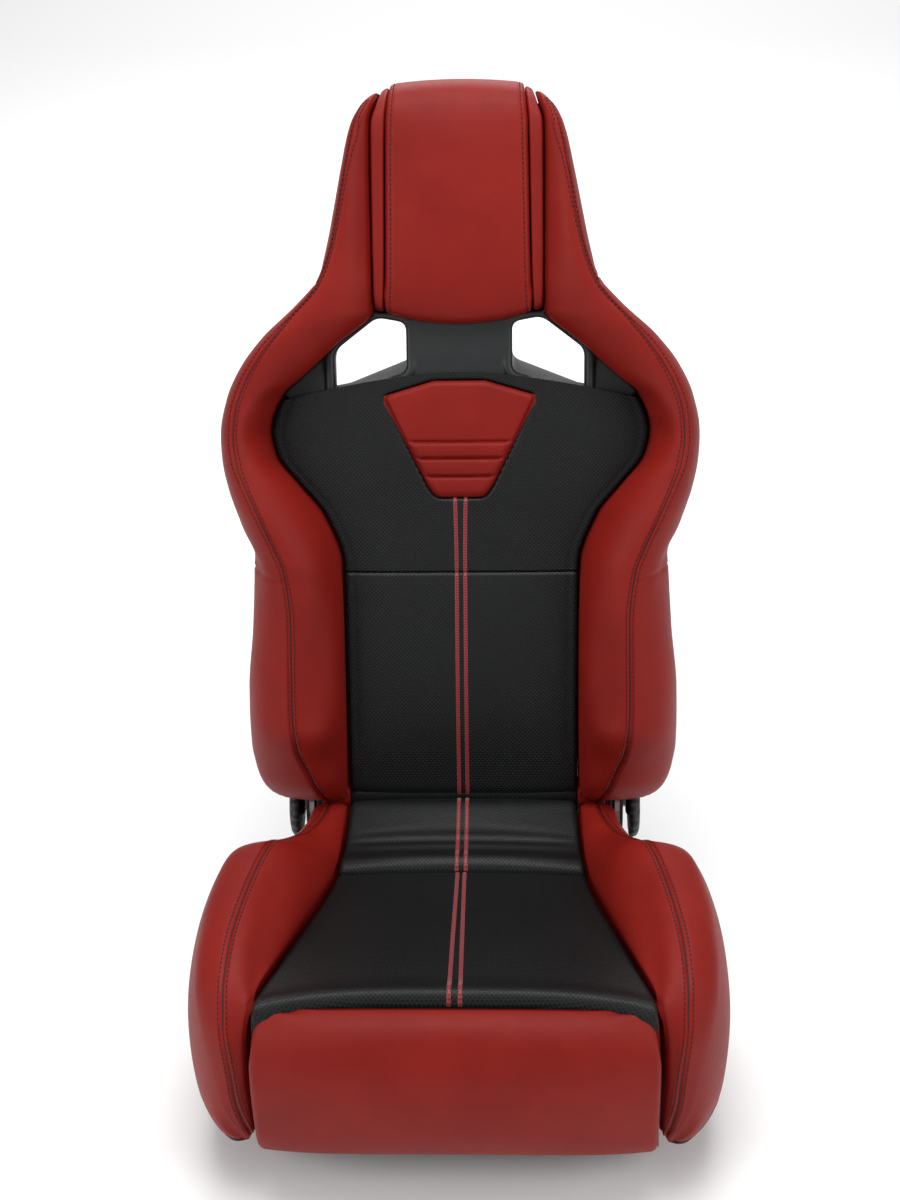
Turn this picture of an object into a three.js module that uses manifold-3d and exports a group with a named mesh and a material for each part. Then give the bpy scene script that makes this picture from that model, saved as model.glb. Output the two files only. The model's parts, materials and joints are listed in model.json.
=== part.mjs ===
// A reclining sports seat with harness slots, in millimetres.
// X points to the occupant's left, Y to the rear, Z up. The origin is on the floor, under the seat's middle.
// Backrest pieces are drawn upright: x across, y to the rear of the back, z up the back from the hinge.
import * as THREE from "three";
import { mergeVertices } from "three/addons/utils/BufferGeometryUtils.js";
import Module from "manifold-3d";

const wasm = await Module();
wasm.setup();

// ---------------------------------------------------------------- driving dimensions

const GAP = 0.4; // between pieces that touch
const SEAM_GAP = 0.8; // between cushions sewn side by side

// Hinge
const HINGE_Y = 76.9;
const HINGE_Z = 184;
const RECLINE = THREE.MathUtils.degToRad(20);

// Heights up the back, each measured from the one before
const BACK_BOTTOM = 28;
const HIP_HEIGHT = 100;
const WAIST_HEIGHT = 300;
const SHOULDER_RISE = 140; // waist to the widest point of the shoulders
const BEZEL_RISE = 40; // shoulders to the outer corners of the slot surround
const BEZEL_SIDE = 91; // those corners to the foot of the headrest
const NECK_RISE = 37; // foot of the headrest to the neck of the outline
const HEAD_RISE = 207; // neck to the top

// Half-widths of the back
const FOOT_HALF = 216;
const HIP_HALF = 241;
const WAIST_HALF = 227;
const SHOULDER_HALF = 263;
const NECK_HALF = 151;
const CROWN_HALF = 114;
const TOP_HALF = 76;
const PANEL_HALF = 131; // middle panel at the waist
const PANEL_SHOULDER_HALF = 208;
const BEZEL_HALF = 194;
const HEAD_SEAM_HALF = 92; // wing to headrest strip
const HEAD_PANEL_HALF = 79;

// Depths towards the occupant, from the plane through the hinge
const FOAM_BACK = 4;
const PAD_FRONT = 60;
const LUMBAR_CROWN = 5;
const BOLSTER_FRONT = 130;
const SHOULDER_FRONT = 112;
const WING_FRONT = 92;
const HEAD_FRONT = 70;
const OUTER_EDGE_FRONT = 36; // where the outline is widest
const BEZEL_FRONT = 46;
const BEZEL_THICKNESS = 24;
const SHELL_EDGE = 8;
const SHELL_DEPTH = 66;
const SHELL_WALL = 3;
const SHELL_INSET = 9; // shell edge inside the outline

// Slots and inset of the back
const SLOT_INNER = 58;
const SLOT_WALL = 9; // surround left outside the slot
const SLOT_SILL = 10; // slot above the lower edge of the surround
const SLOT_LINTEL = 8; // slot below the top edge of the surround
const SLOT_CORNER = 6;
const SHELL_ARCH = 14; // slot sill at the shell above the sill at the surround
const UPPER_PAD_BOTTOM = 283;
const INSET_HEIGHT = 128;
const INSET_TOP_HALF = 83;
const INSET_BOTTOM_HALF = 34;
const INSET_DEPTH = 14;

// Cushion
const CUSHION_BOTTOM = 136;
const CUSHION_REACH = 462; // hinge to the front of the roll
const CUSHION_HALF = 278;
const CUSHION_REAR_CLEAR = 66; // radius kept free around the hinge
const FRONT_SEAM_BACK = 57; // front seam behind the front of the roll
const CROSS_SEAM = 160; // hinge to the seam across the cushion
const SEAM_REAR_HALF = 137;
const SEAM_FRONT_HALF = 197;
const CUSHION_TOP_REAR = 205;
const CUSHION_TOP_FRONT = 244;
const CUSHION_TOP_BACK = 208;
const CUSHION_CREST = 280;
const SKIRT_BOTTOM = 36;
const ROLL_BOTTOM = 48;
const ROLL_HALF = 203;
const ROLL_THICKNESS = 52;

// Recliner and base, outwards from the middle of the seat
const MEMBER_INNER = 164;
const PLATE = 3.2; // pressed steel plates
const DISC_THICKNESS = 7.6;
const DISC_RADIUS = 35;
const SHAFT_RADIUS = 6;
const SHAFT_HOLE = 6.6;
const WHEEL_RADIUS = 41;
const WHEEL_THICKNESS = 15;
const WHEEL_GAP = 5;
const WHEEL_CLEAR = 5;
const ARM_LENGTH = 126;
const ARM_BOSS = 32;
const ARM_CLEAR = 4; // arm slot of the shell around the arm
const MEMBER_TOP = 452;
const FLANGE_BOTTOM = 70;
const TUBE_RADIUS = 12;
const TUBE_WALL = 2;
const LOOP_RADIUS = 8;
const FRAME_DEPTH = -17; // middle of the back frame
const FRAME_WIDTH = 30;
const FOOT_WIDTH = 38;
const FOOT_THICKNESS = 4;
const FOOT_HOLE = 4.5;
const FOOT_AHEAD = 18; // rear foot hole ahead of the hinge
const FOOT_SPACING = 300;
const BASE_AHEAD = 358;
const BASE_BEHIND = 38;
const BASE_HEIGHT = 94;
const SKIRT_CLEAR = 8; // cushion skirt outside the side frame
const BOLT_RADIUS = 5;
const BOLT_HEAD = 8.5;

// Fold lever
const LEVER_HEIGHT = 150;
const LEVER_LENGTH = 72;
const LEVER_THICKNESS = 5;
const LEVER_SHAFT = 4;
const SCREW_RADIUS = 2.2;
const SCREW_HEAD = 6;
const SCREW_HALF = 120; // screws from the middle of the shell

// ---------------------------------------------------------------- values that follow

const SHOULDER_HEIGHT = WAIST_HEIGHT + SHOULDER_RISE;
const BEZEL_CORNER = SHOULDER_HEIGHT + BEZEL_RISE;
const HEAD_FOOT = BEZEL_CORNER + BEZEL_SIDE;
const NECK_HEIGHT = HEAD_FOOT + NECK_RISE;
const BACK_HEIGHT = NECK_HEIGHT + HEAD_RISE;
const WING_FOOT = NECK_HEIGHT - 10;
const CROWN_HEIGHT = BACK_HEIGHT - 48;
const WING_TOP = BACK_HEIGHT - 14;
const SHELL_BOTTOM = BACK_BOTTOM + 14;
const SHELL_TOP = BACK_HEIGHT - 24;

const ARM_INNER = MEMBER_INNER + PLATE + GAP;
const DISC_INNER = ARM_INNER + PLATE + GAP;
const BRACKET_INNER = DISC_INNER + DISC_THICKNESS + GAP;
const WHEEL_INNER = BRACKET_INNER + PLATE + WHEEL_GAP;
const BASE_INNER = BRACKET_INNER - GAP - PLATE;
const WELL_RADIUS = WHEEL_RADIUS + WHEEL_CLEAR;

const ROLL_FRONT = HINGE_Y - CUSHION_REACH;
const FRONT_SEAM = ROLL_FRONT + FRONT_SEAM_BACK;
const CROSS_SEAM_Y = HINGE_Y - CROSS_SEAM;
const BASE_FRONT = HINGE_Y - BASE_AHEAD;
const BASE_REAR = HINGE_Y + BASE_BEHIND;
const FOOT_REAR = HINGE_Y - FOOT_AHEAD;
const FOOT_INNER = BASE_INNER + PLATE - FOOT_WIDTH;
const LEVER_DEPTH = -9;

// ---------------------------------------------------------------- curves

const mix = (a, b, t) => a + (b - a) * t;

// A smooth curve through points [t, value] that never overshoots between them.
function through(points) {
  const last = points.length - 1;
  const step = (i) => (points[i + 1][1] - points[i][1]) / (points[i + 1][0] - points[i][0]);
  const slopes = points.map((_, i) => {
    if (i === 0) return step(0);
    if (i === last) return step(last - 1);
    const before = step(i - 1);
    const after = step(i);
    return before * after <= 0 ? 0 : (2 * before * after) / (before + after);
  });
  return (t) => {
    if (t <= points[0][0]) return points[0][1];
    if (t >= points[last][0]) return points[last][1];
    let i = 0;
    while (t > points[i + 1][0]) i += 1;
    const width = points[i + 1][0] - points[i][0];
    const k = (t - points[i][0]) / width;
    const rise = k * k * (3 - 2 * k);
    const leave = k * (1 - k) * (1 - k) * width * slopes[i];
    const arrive = -k * k * (1 - k) * width * slopes[i + 1];
    return mix(points[i][1], points[i + 1][1], rise) + leave + arrive;
  };
}

// Points of a quadratic bend from a to c, pulled towards b, without its first point.
function bend(a, b, c, count) {
  return Array.from({ length: count }, (_, i) => {
    const t = (i + 1) / count;
    return [0, 1].map((k) => mix(mix(a[k], b[k], t), mix(b[k], c[k], t), t));
  });
}

const shoulderTo = (t) => mix(SHOULDER_HEIGHT, NECK_HEIGHT, t);
const shoulderHalf = (t) => mix(SHOULDER_HALF, NECK_HALF, t);
const waistTo = (t) => mix(WAIST_HEIGHT, SHOULDER_HEIGHT, t);
const bezelTo = (t) => mix(BEZEL_CORNER, HEAD_FOOT, t);
const bezelHalf = (t) => mix(BEZEL_HALF, HEAD_SEAM_HALF, t);

// Half-width of the back's outline at a height.
const outerEdge = through([
  [BACK_BOTTOM, FOOT_HALF],
  [HIP_HEIGHT, HIP_HALF],
  [WAIST_HEIGHT, WAIST_HALF],
  [waistTo(0.32), mix(WAIST_HALF, SHOULDER_HALF, 0.42)],
  [SHOULDER_HEIGHT, SHOULDER_HALF],
  [shoulderTo(0.24), shoulderHalf(0.07)],
  [shoulderTo(0.52), shoulderHalf(0.33)],
  [shoulderTo(0.8), shoulderHalf(0.78)],
  [NECK_HEIGHT, NECK_HALF],
  [mix(NECK_HEIGHT, CROWN_HEIGHT, 0.2), mix(NECK_HALF, CROWN_HALF, 0.28)],
  [CROWN_HEIGHT, CROWN_HALF],
  [BACK_HEIGHT - 22, CROWN_HALF - 15],
  [BACK_HEIGHT - 6, TOP_HALF],
]);

// Half-width of the seam between the middle panels and the red sides.
const innerEdge = through([
  [BACK_BOTTOM, PANEL_HALF - 1],
  [WAIST_HEIGHT - 10, PANEL_HALF],
  [waistTo(0.34), mix(PANEL_HALF, PANEL_SHOULDER_HALF, 0.26)],
  [waistTo(0.58), mix(PANEL_HALF, PANEL_SHOULDER_HALF, 0.61)],
  [waistTo(0.81), mix(PANEL_HALF, PANEL_SHOULDER_HALF, 0.93)],
  [SHOULDER_HEIGHT, PANEL_SHOULDER_HALF],
  [BEZEL_CORNER, BEZEL_HALF],
  [bezelTo(0.18), bezelHalf(0.17)],
  [bezelTo(0.58), bezelHalf(0.58)],
  [HEAD_FOOT, HEAD_SEAM_HALF],
  [CROWN_HEIGHT, HEAD_SEAM_HALF],
  [WING_TOP, HEAD_SEAM_HALF - 8],
]);

// Half-width and depth of the crest of the side bolsters and wings.
const crestHalf = through([
  [BACK_BOTTOM, PANEL_HALF + 20],
  [HIP_HEIGHT - 10, PANEL_HALF + 50],
  [WAIST_HEIGHT - 50, PANEL_HALF + 52],
  [waistTo(0.36), SHOULDER_HALF - 50],
  [waistTo(0.8), SHOULDER_HALF - 26],
  [BEZEL_CORNER, SHOULDER_HALF - 24],
  [shoulderTo(0.8), shoulderHalf(0.78) - 4],
  [NECK_HEIGHT, NECK_HALF - 12],
  [CROWN_HEIGHT, CROWN_HALF - 6],
  [WING_TOP, HEAD_SEAM_HALF - 3],
]);
const crestDepth = through([
  [BACK_BOTTOM, PAD_FRONT + 12],
  [HIP_HEIGHT - 36, BOLSTER_FRONT - 28],
  [HIP_HEIGHT + 20, BOLSTER_FRONT],
  [WAIST_HEIGHT + 30, BOLSTER_FRONT],
  [BEZEL_CORNER, SHOULDER_FRONT],
  [NECK_HEIGHT, WING_FRONT],
  [CROWN_HEIGHT, HEAD_FRONT + 8],
  [WING_TOP, HEAD_FRONT - 18],
]);
const innerDepth = through([
  [BACK_BOTTOM, PAD_FRONT - 6],
  [HIP_HEIGHT, PAD_FRONT],
  [SHOULDER_HEIGHT, PAD_FRONT - 6],
  [BEZEL_CORNER, BEZEL_FRONT + 4],
  [bezelTo(0.8), BEZEL_FRONT + 6],
  [HEAD_FOOT, HEAD_FRONT - 8],
  [NECK_HEIGHT, HEAD_FRONT],
  [CROWN_HEIGHT, HEAD_FRONT - 3],
  [WING_TOP, HEAD_FRONT - 24],
]);
const padDepth = through([
  [BACK_BOTTOM, PAD_FRONT - 10],
  [BACK_BOTTOM + 40, PAD_FRONT],
  [mix(HIP_HEIGHT, WAIST_HEIGHT, 0.4), PAD_FRONT + LUMBAR_CROWN],
  [WAIST_HEIGHT, PAD_FRONT],
  [BEZEL_CORNER, PAD_FRONT - 8],
]);

// Half-width of the seam between the cushion's middle panels and its bolsters, by y.
const cushionSeam = through([
  [ROLL_FRONT, SEAM_FRONT_HALF],
  [FRONT_SEAM, SEAM_FRONT_HALF],
  [mix(FRONT_SEAM, CROSS_SEAM_Y, 0.3), mix(SEAM_FRONT_HALF, SEAM_REAR_HALF, 0.27)],
  [CROSS_SEAM_Y, SEAM_REAR_HALF],
  [HINGE_Y - CUSHION_REAR_CLEAR + 16, SEAM_REAR_HALF - 9],
]);
const cushionTop = through([
  [FRONT_SEAM, CUSHION_TOP_FRONT],
  [CROSS_SEAM_Y - 30, CUSHION_TOP_REAR + 4],
  [CROSS_SEAM_Y, CUSHION_TOP_REAR],
  [HINGE_Y - CUSHION_REAR_CLEAR, CUSHION_TOP_BACK],
]);

// ---------------------------------------------------------------- solids

// Turns a closed geometry so that its faces point outwards.
function outwards(geometry) {
  const at = geometry.getAttribute("position");
  const index = Array.from(geometry.index.array);
  const [a, b, c] = [new THREE.Vector3(), new THREE.Vector3(), new THREE.Vector3()];
  let volume = 0;
  for (let i = 0; i < index.length; i += 3) {
    a.fromBufferAttribute(at, index[i]);
    b.fromBufferAttribute(at, index[i + 1]);
    c.fromBufferAttribute(at, index[i + 2]);
    volume += a.dot(b.cross(c));
  }
  if (volume < 0) index.reverse();
  geometry.setIndex(index);
  return geometry;
}

function fromFaces(points, faces) {
  const geometry = new THREE.BufferGeometry().setFromPoints(points);
  geometry.setIndex(faces);
  return outwards(geometry);
}

// A closed body between a front and a back sheet; place(u, v, back) gives each point, u and v from 0 to 1.
function sheetBody(columns, rows, place) {
  const points = [];
  const faces = [];
  for (const back of [0, 1]) {
    for (let j = 0; j <= rows; j += 1) {
      for (let i = 0; i <= columns; i += 1) {
        points.push(place(i / columns, j / rows, back));
      }
    }
  }
  const size = (columns + 1) * (rows + 1);
  const at = (i, j, back) => back * size + j * (columns + 1) + i;
  for (let j = 0; j < rows; j += 1) {
    for (let i = 0; i < columns; i += 1) {
      const [a, b, c, d] = [at(i, j, 0), at(i + 1, j, 0), at(i + 1, j + 1, 0), at(i, j + 1, 0)];
      faces.push(a, b, c, a, c, d);
      faces.push(a + size, c + size, b + size, a + size, d + size, c + size);
    }
  }
  const wall = (p, q) => faces.push(p, p + size, q, q, p + size, q + size);
  for (let i = 0; i < columns; i += 1) {
    wall(at(i, 0, 0), at(i + 1, 0, 0));
    wall(at(i + 1, rows, 0), at(i, rows, 0));
  }
  for (let j = 0; j < rows; j += 1) {
    wall(at(columns, j, 0), at(columns, j + 1, 0));
    wall(at(0, j + 1, 0), at(0, j, 0));
  }
  return fromFaces(points, faces);
}

// A closed body through rings of points; flat(point) gives the plane in which its two ends are filled.
function ringBody(rings, flat) {
  const count = rings[0].length;
  const points = rings.flat();
  const faces = [];
  for (let j = 0; j < rings.length - 1; j += 1) {
    for (let i = 0; i < count; i += 1) {
      const next = (i + 1) % count;
      const [a, b] = [j * count + i, j * count + next];
      faces.push(a, b, b + count, a, b + count, a + count);
    }
  }
  const fill = (ring, start, turned) => {
    const outline = ring.map((p) => new THREE.Vector2(...flat(p)));
    for (const [a, b, c] of THREE.ShapeUtils.triangulateShape(outline, [])) {
      faces.push(start + a, start + (turned ? c : b), start + (turned ? b : c));
    }
  };
  const isTurned = THREE.ShapeUtils.isClockWise(rings[0].map((p) => new THREE.Vector2(...flat(p))));
  fill(rings[0], 0, !isTurned);
  fill(rings[rings.length - 1], points.length - count, isTurned);
  return fromFaces(points, faces);
}

// A manifold solid of a closed geometry, and a geometry of a manifold solid.
function solid(geometry) {
  const bare = geometry.clone();
  bare.deleteAttribute("normal");
  bare.deleteAttribute("uv");
  const merged = mergeVertices(bare, 1e-3);
  const vertProperties = new Float32Array(merged.getAttribute("position").array);
  const triVerts = new Uint32Array(merged.index.array);
  return new wasm.Manifold(new wasm.Mesh({ numProp: 3, vertProperties, triVerts }));
}

function geometryOf(manifold) {
  const mesh = manifold.getMesh();
  const geometry = new THREE.BufferGeometry();
  geometry.setAttribute("position", new THREE.BufferAttribute(mesh.vertProperties, 3));
  geometry.setIndex(Array.from(mesh.triVerts));
  return geometry;
}

const cut = (geometry, ...tools) =>
  geometryOf(tools.reduce((left, tool) => left.subtract(solid(tool)), solid(geometry)));
const join = (geometry, ...others) =>
  geometryOf(others.reduce((sum, other) => sum.add(solid(other)), solid(geometry)));

// The same geometry on the other side of the seat.
function mirrored(geometry) {
  const other = geometry.clone().scale(-1, 1, 1);
  const count = other.getAttribute("position").count;
  const index = other.index ? Array.from(other.index.array) : [...Array(count).keys()];
  other.setIndex(index.reverse());
  return other;
}

function box(x0, x1, y0, y1, z0, z1) {
  const geometry = new THREE.BoxGeometry(x1 - x0, y1 - y0, z1 - z0);
  return geometry.translate((x0 + x1) / 2, (y0 + y1) / 2, (z0 + z1) / 2);
}

// A round rod along X between two places, at a height and depth.
function rod(radius, x0, x1, y = 0, z = 0, sides = 24) {
  const geometry = new THREE.CylinderGeometry(radius, radius, x1 - x0, sides);
  return geometry.rotateZ(-Math.PI / 2).translate((x0 + x1) / 2, y, z);
}

// A body turned about the X axis from a profile of [radius, x] points, walked with the material on its left.
function turned(profile, sides = 20) {
  const geometry = new THREE.LatheGeometry(profile.map(([r, x]) => new THREE.Vector2(r, x)), sides);
  geometry.deleteAttribute("normal");
  geometry.deleteAttribute("uv");
  return outwards(mergeVertices(geometry.rotateZ(-Math.PI / 2), 1e-3));
}

// A flat plate of an outline in the y-z plane, from x outwards, with round holes [y, z, radius].
function plate(outline, x, thickness, holes = []) {
  const shape = new THREE.Shape(outline.map(([y, z]) => new THREE.Vector2(y, z)));
  for (const [y, z, radius] of holes) {
    const hole = new THREE.Path().absarc(y, z, radius, 0, 2 * Math.PI, true);
    shape.holes.push(hole);
  }
  const extrusion = { depth: thickness, bevelEnabled: false, curveSegments: 12 };
  const geometry = new THREE.ExtrudeGeometry(shape, extrusion);
  const toSide = new THREE.Matrix4().makeBasis(
    new THREE.Vector3(0, 1, 0),
    new THREE.Vector3(0, 0, 1),
    new THREE.Vector3(1, 0, 0),
  );
  return geometry.applyMatrix4(toSide).translate(x, 0, 0);
}

// The points of an arc about a centre, between two angles in degrees.
function arc(y, z, radius, from, to, count) {
  return Array.from({ length: count + 1 }, (_, i) => {
    const angle = THREE.MathUtils.degToRad(mix(from, to, i / count));
    return [y + radius * Math.cos(angle), z + radius * Math.sin(angle)];
  });
}

// A round bar bent along points.
function bar(points, radius, sides, steps) {
  const path = new THREE.CatmullRomCurve3(points.map((p) => new THREE.Vector3(...p)), false, "centripetal");
  const corners = arc(0, 0, radius, 0, 360, sides).slice(0, sides);
  const section = new THREE.Shape(corners.map(([a, b]) => new THREE.Vector2(a, b)));
  return new THREE.ExtrudeGeometry(section, { steps, extrudePath: path, bevelEnabled: false });
}

// ---------------------------------------------------------------- backrest cushions

const point = (x, depth, height) => new THREE.Vector3(x, -depth, height);

// The ring of a side bolster at a height: inner seam, inner slope, crest, outer slope, outline, back.
function bolsterRing(height, backDepth) {
  const inner = innerEdge(height) + SEAM_GAP;
  const outer = outerEdge(height);
  const crest = Math.max(crestHalf(height), inner + 2);
  const [seamDepth, depth] = [innerDepth(height), crestDepth(height)];
  const slope = bend([inner, seamDepth], [inner + 0.2 * (crest - inner), depth - 4], [crest, depth], 4);
  const side = bend([crest, depth], [outer - 1, depth - 6], [outer, OUTER_EDGE_FRONT], 4);
  const rim = outer - SHELL_INSET - SHELL_WALL - 3;
  const heel = Math.max(inner + 1.5, rim);
  const back = [[outer - 3, SHELL_EDGE + GAP], [heel, SHELL_EDGE + GAP], [heel - 1, backDepth]];
  const around = [[inner, backDepth], [inner, seamDepth], ...slope, ...side, ...back];
  return around.map(([x, d]) => point(x, d, height));
}

function bolsterBetween(low, high, steps, backDepth) {
  const heights = Array.from({ length: steps + 1 }, (_, i) => mix(low, high, i / steps));
  const rings = heights.map((height) => bolsterRing(height, backDepth));
  return ringBody(rings, (p) => [p.x, p.y]);
}

function backBolster() {
  const body = bolsterBetween(BACK_BOTTOM, WING_FOOT, 26, FOAM_BACK);
  return cut(body, rod(WELL_RADIUS, PANEL_HALF - 10, HIP_HALF + 60));
}

const headWing = () => bolsterBetween(WING_FOOT + SEAM_GAP, WING_TOP, 9, SHELL_EDGE + GAP / 2);

// A middle panel between two heights; top(u) gives its upper edge across, from -1 to 1.
function middlePad(bottom, top, columns, rows) {
  return sheetBody(columns, rows, (u, v, back) => {
    const across = 2 * u - 1;
    const height = mix(bottom, top(across), v);
    const x = across * (innerEdge(height) - SEAM_GAP);
    const fall = 3 * across ** 4;
    return point(x, back ? FOAM_BACK : padDepth(height) - fall, height);
  });
}

const lowerPad = () => middlePad(BACK_BOTTOM - 3, () => UPPER_PAD_BOTTOM - SEAM_GAP / 2, 4, 7);

// The lower edge of the slot surround, as height by half-width.
const surroundFoot = through([
  [0, BEZEL_CORNER + 17],
  [28, BEZEL_CORNER + 17],
  [99, BEZEL_CORNER + 3],
  [138, BEZEL_CORNER - 12],
  [BEZEL_HALF - 19, BEZEL_CORNER - 25],
]);

const padTop = (across) => mix(surroundFoot(0) + 4, BEZEL_CORNER - 6, across ** 2);

// The outline of the inset of the upper panel, grown by a margin.
function insetOutline(grow) {
  const top = surroundFoot(0) - SEAM_GAP - 2 + grow;
  const bottom = top - INSET_HEIGHT - 2 * grow;
  const chamfer = 16;
  const side = (h) => mix(INSET_BOTTOM_HALF, INSET_TOP_HALF, (h - bottom) / (top - chamfer - bottom)) + grow;
  const half = [
    [side(bottom) - 8, bottom],
    [side(bottom + 10) + 3, bottom + 12],
    [side(top - chamfer), top - chamfer],
    [28, top],
  ];
  return [...half, ...half.map(([x, h]) => [-x, h]).reverse()];
}

// An outline in the x-z plane given a thickness to the rear, starting at a depth.
function slab(outline, depth, thickness, holes = []) {
  const shape = new THREE.Shape(outline.map(([x, h]) => new THREE.Vector2(x, h)));
  for (const hole of holes) shape.holes.push(hole);
  const extrusion = { depth: thickness, bevelEnabled: false, curveSegments: 3 };
  const geometry = new THREE.ExtrudeGeometry(shape, extrusion);
  return geometry.rotateX(Math.PI / 2).translate(0, thickness - depth, 0);
}

function upperPad() {
  const body = middlePad(UPPER_PAD_BOTTOM + SEAM_GAP / 2, padTop, 6, 13);
  const pocket = slab(insetOutline(SEAM_GAP), PAD_FRONT + 40, INSET_DEPTH + 40);
  const surround = slab(bezelOutline(SEAM_GAP), PAD_FRONT + 40, PAD_FRONT + 80);
  return cut(body, pocket, surround);
}

const insetPad = () => slab(insetOutline(0), PAD_FRONT - 1, INSET_DEPTH - 1 - GAP);

// ---------------------------------------------------------------- headrest

const panelEdge = through([
  [HEAD_FOOT - 14, HEAD_PANEL_HALF + 3],
  [NECK_HEIGHT, HEAD_PANEL_HALF],
  [CROWN_HEIGHT, HEAD_PANEL_HALF - 3],
  [BACK_HEIGHT, HEAD_PANEL_HALF - 6],
]);

// The side profile of the headrest as [depth, height], from the foot round the front and over the top.
function headProfile(foot) {
  return [
    [FOAM_BACK, foot + 4],
    [HEAD_FRONT - 14, foot],
    [HEAD_FRONT - 4, foot + 8],
    [HEAD_FRONT, foot + 40],
    [HEAD_FRONT + 1, mix(foot, BACK_HEIGHT, 0.6)],
    [HEAD_FRONT - 3, CROWN_HEIGHT + 10],
    [HEAD_FRONT - 12, BACK_HEIGHT - 16],
    [HEAD_FRONT - 30, BACK_HEIGHT - 3],
    [HEAD_FRONT - 50, BACK_HEIGHT],
    [-2, BACK_HEIGHT - 5],
    [-14, SHELL_TOP + 2],
    [FOAM_BACK - 3, SHELL_TOP + 2],
    [FOAM_BACK, SHELL_TOP - 10],
  ];
}

const footAt = (x) => HEAD_FOOT - 14 + 12 * (x / HEAD_PANEL_HALF) ** 2;

// A part of the headrest between two edges, left(height) and right(height), with its front set back.
function headPart(left, right, columns, setBack) {
  const rings = Array.from({ length: columns + 1 }, (_, i) => {
    const middle = mix(left(HEAD_FOOT), right(HEAD_FOOT), i / columns);
    return headProfile(footAt(middle)).map(([depth, height]) => {
      const x = mix(left(height), right(height), i / columns);
      const set = depth > HEAD_FRONT / 2 ? setBack : 0;
      return point(x, depth - set, height - (height > CROWN_HEIGHT ? setBack : 0));
    });
  });
  return ringBody(rings, (p) => [p.z, p.y]);
}

const headPad = () => headPart((h) => -panelEdge(h), panelEdge, 6, 0);

function headStrip() {
  const left = (h) => panelEdge(h) + SEAM_GAP;
  const right = (h) => Math.max(innerEdge(h) - 2 * SEAM_GAP, panelEdge(h) + SEAM_GAP + 4);
  return headPart(left, right, 2, 3);
}

// ---------------------------------------------------------------- slot surround and shell

// A harness slot as a closed path with round corners, its sill raised by a share of the arch.
function slotPath(raise, grow) {
  const sill = (x) => surroundFoot(x) + SLOT_SILL + raise * (1 - x / BEZEL_HALF) - grow;
  const top = HEAD_FOOT - SLOT_LINTEL + grow;
  const inner = SLOT_INNER - grow;
  const outer = BEZEL_HALF - 58 + grow;
  const corners = [
    [inner, sill(SLOT_INNER)],
    [outer, sill(outer)],
    [outer, bezelTo(0.52)],
    [innerEdge(top) - SLOT_WALL, top],
    [inner, top - 6],
  ];
  const path = new THREE.Path();
  corners.forEach((corner, i) => {
    const here = new THREE.Vector2(...corner);
    const before = new THREE.Vector2(...corners[(i + corners.length - 1) % corners.length]);
    const after = new THREE.Vector2(...corners[(i + 1) % corners.length]);
    const start = here.clone().add(before.sub(here).setLength(SLOT_CORNER));
    const end = here.clone().add(after.sub(here).setLength(SLOT_CORNER));
    if (i === 0) path.moveTo(start.x, start.y);
    else path.lineTo(start.x, start.y);
    path.quadraticCurveTo(here.x, here.y, end.x, end.y);
  });
  path.closePath();
  return path;
}

const flipped = (path) => new THREE.Path(path.getPoints(3).map((p) => new THREE.Vector2(-p.x, p.y)));

// The outline of the slot surround, its foot and sides grown by a margin.
function bezelOutline(grow) {
  const clear = 2 * SEAM_GAP - grow;
  const tip = BEZEL_HALF - 19;
  const foot = [0, 28, 65, 99, 138, tip].map((x) => [x, surroundFoot(x) - grow]);
  const heights = [0, 0.18, 0.4, 0.6, 0.8, 0.94].map(bezelTo);
  const side = heights.map((h) => [innerEdge(h) - clear, h - clear]);
  const top = [72, 54, 36, 18, 0].map((x) => [x, footAt(x) - 2 * SEAM_GAP]);
  const half = [...foot, ...side, ...top];
  return [...half, ...half.slice(1, -1).map(([x, h]) => [-x, h]).reverse()];
}

function slotSurround() {
  const slots = [slotPath(0, 0), flipped(slotPath(0, 0))];
  return slab(bezelOutline(0), BEZEL_FRONT, BEZEL_THICKNESS, slots);
}

// Depth of the shell's back behind its edge, which closes towards the top.
function shellDepth(height) {
  const round = Math.max(0, (height - (SHELL_TOP - 130)) / 140);
  return SHELL_DEPTH * (1 - round ** 4) ** 0.25;
}

function shellBody() {
  const power = 2 / 4;
  return sheetBody(20, 18, (u, v, back) => {
    const height = mix(SHELL_BOTTOM, SHELL_TOP, v);
    const angle = Math.PI * (1 - u);
    const wall = back ? 0 : SHELL_WALL;
    const half = outerEdge(height) - SHELL_INSET - wall;
    const depth = shellDepth(height) - wall;
    const x = half * Math.sign(Math.cos(angle)) * Math.abs(Math.cos(angle)) ** power;
    return point(x, SHELL_EDGE - depth * Math.abs(Math.sin(angle)) ** power, height);
  });
}

const SCREW_HEIGHTS = [HIP_HEIGHT, SHOULDER_HEIGHT - 60];
const SCREW_PLACES = [-SCREW_HALF, SCREW_HALF].flatMap((x) => SCREW_HEIGHTS.map((h) => [x, h]));

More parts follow.
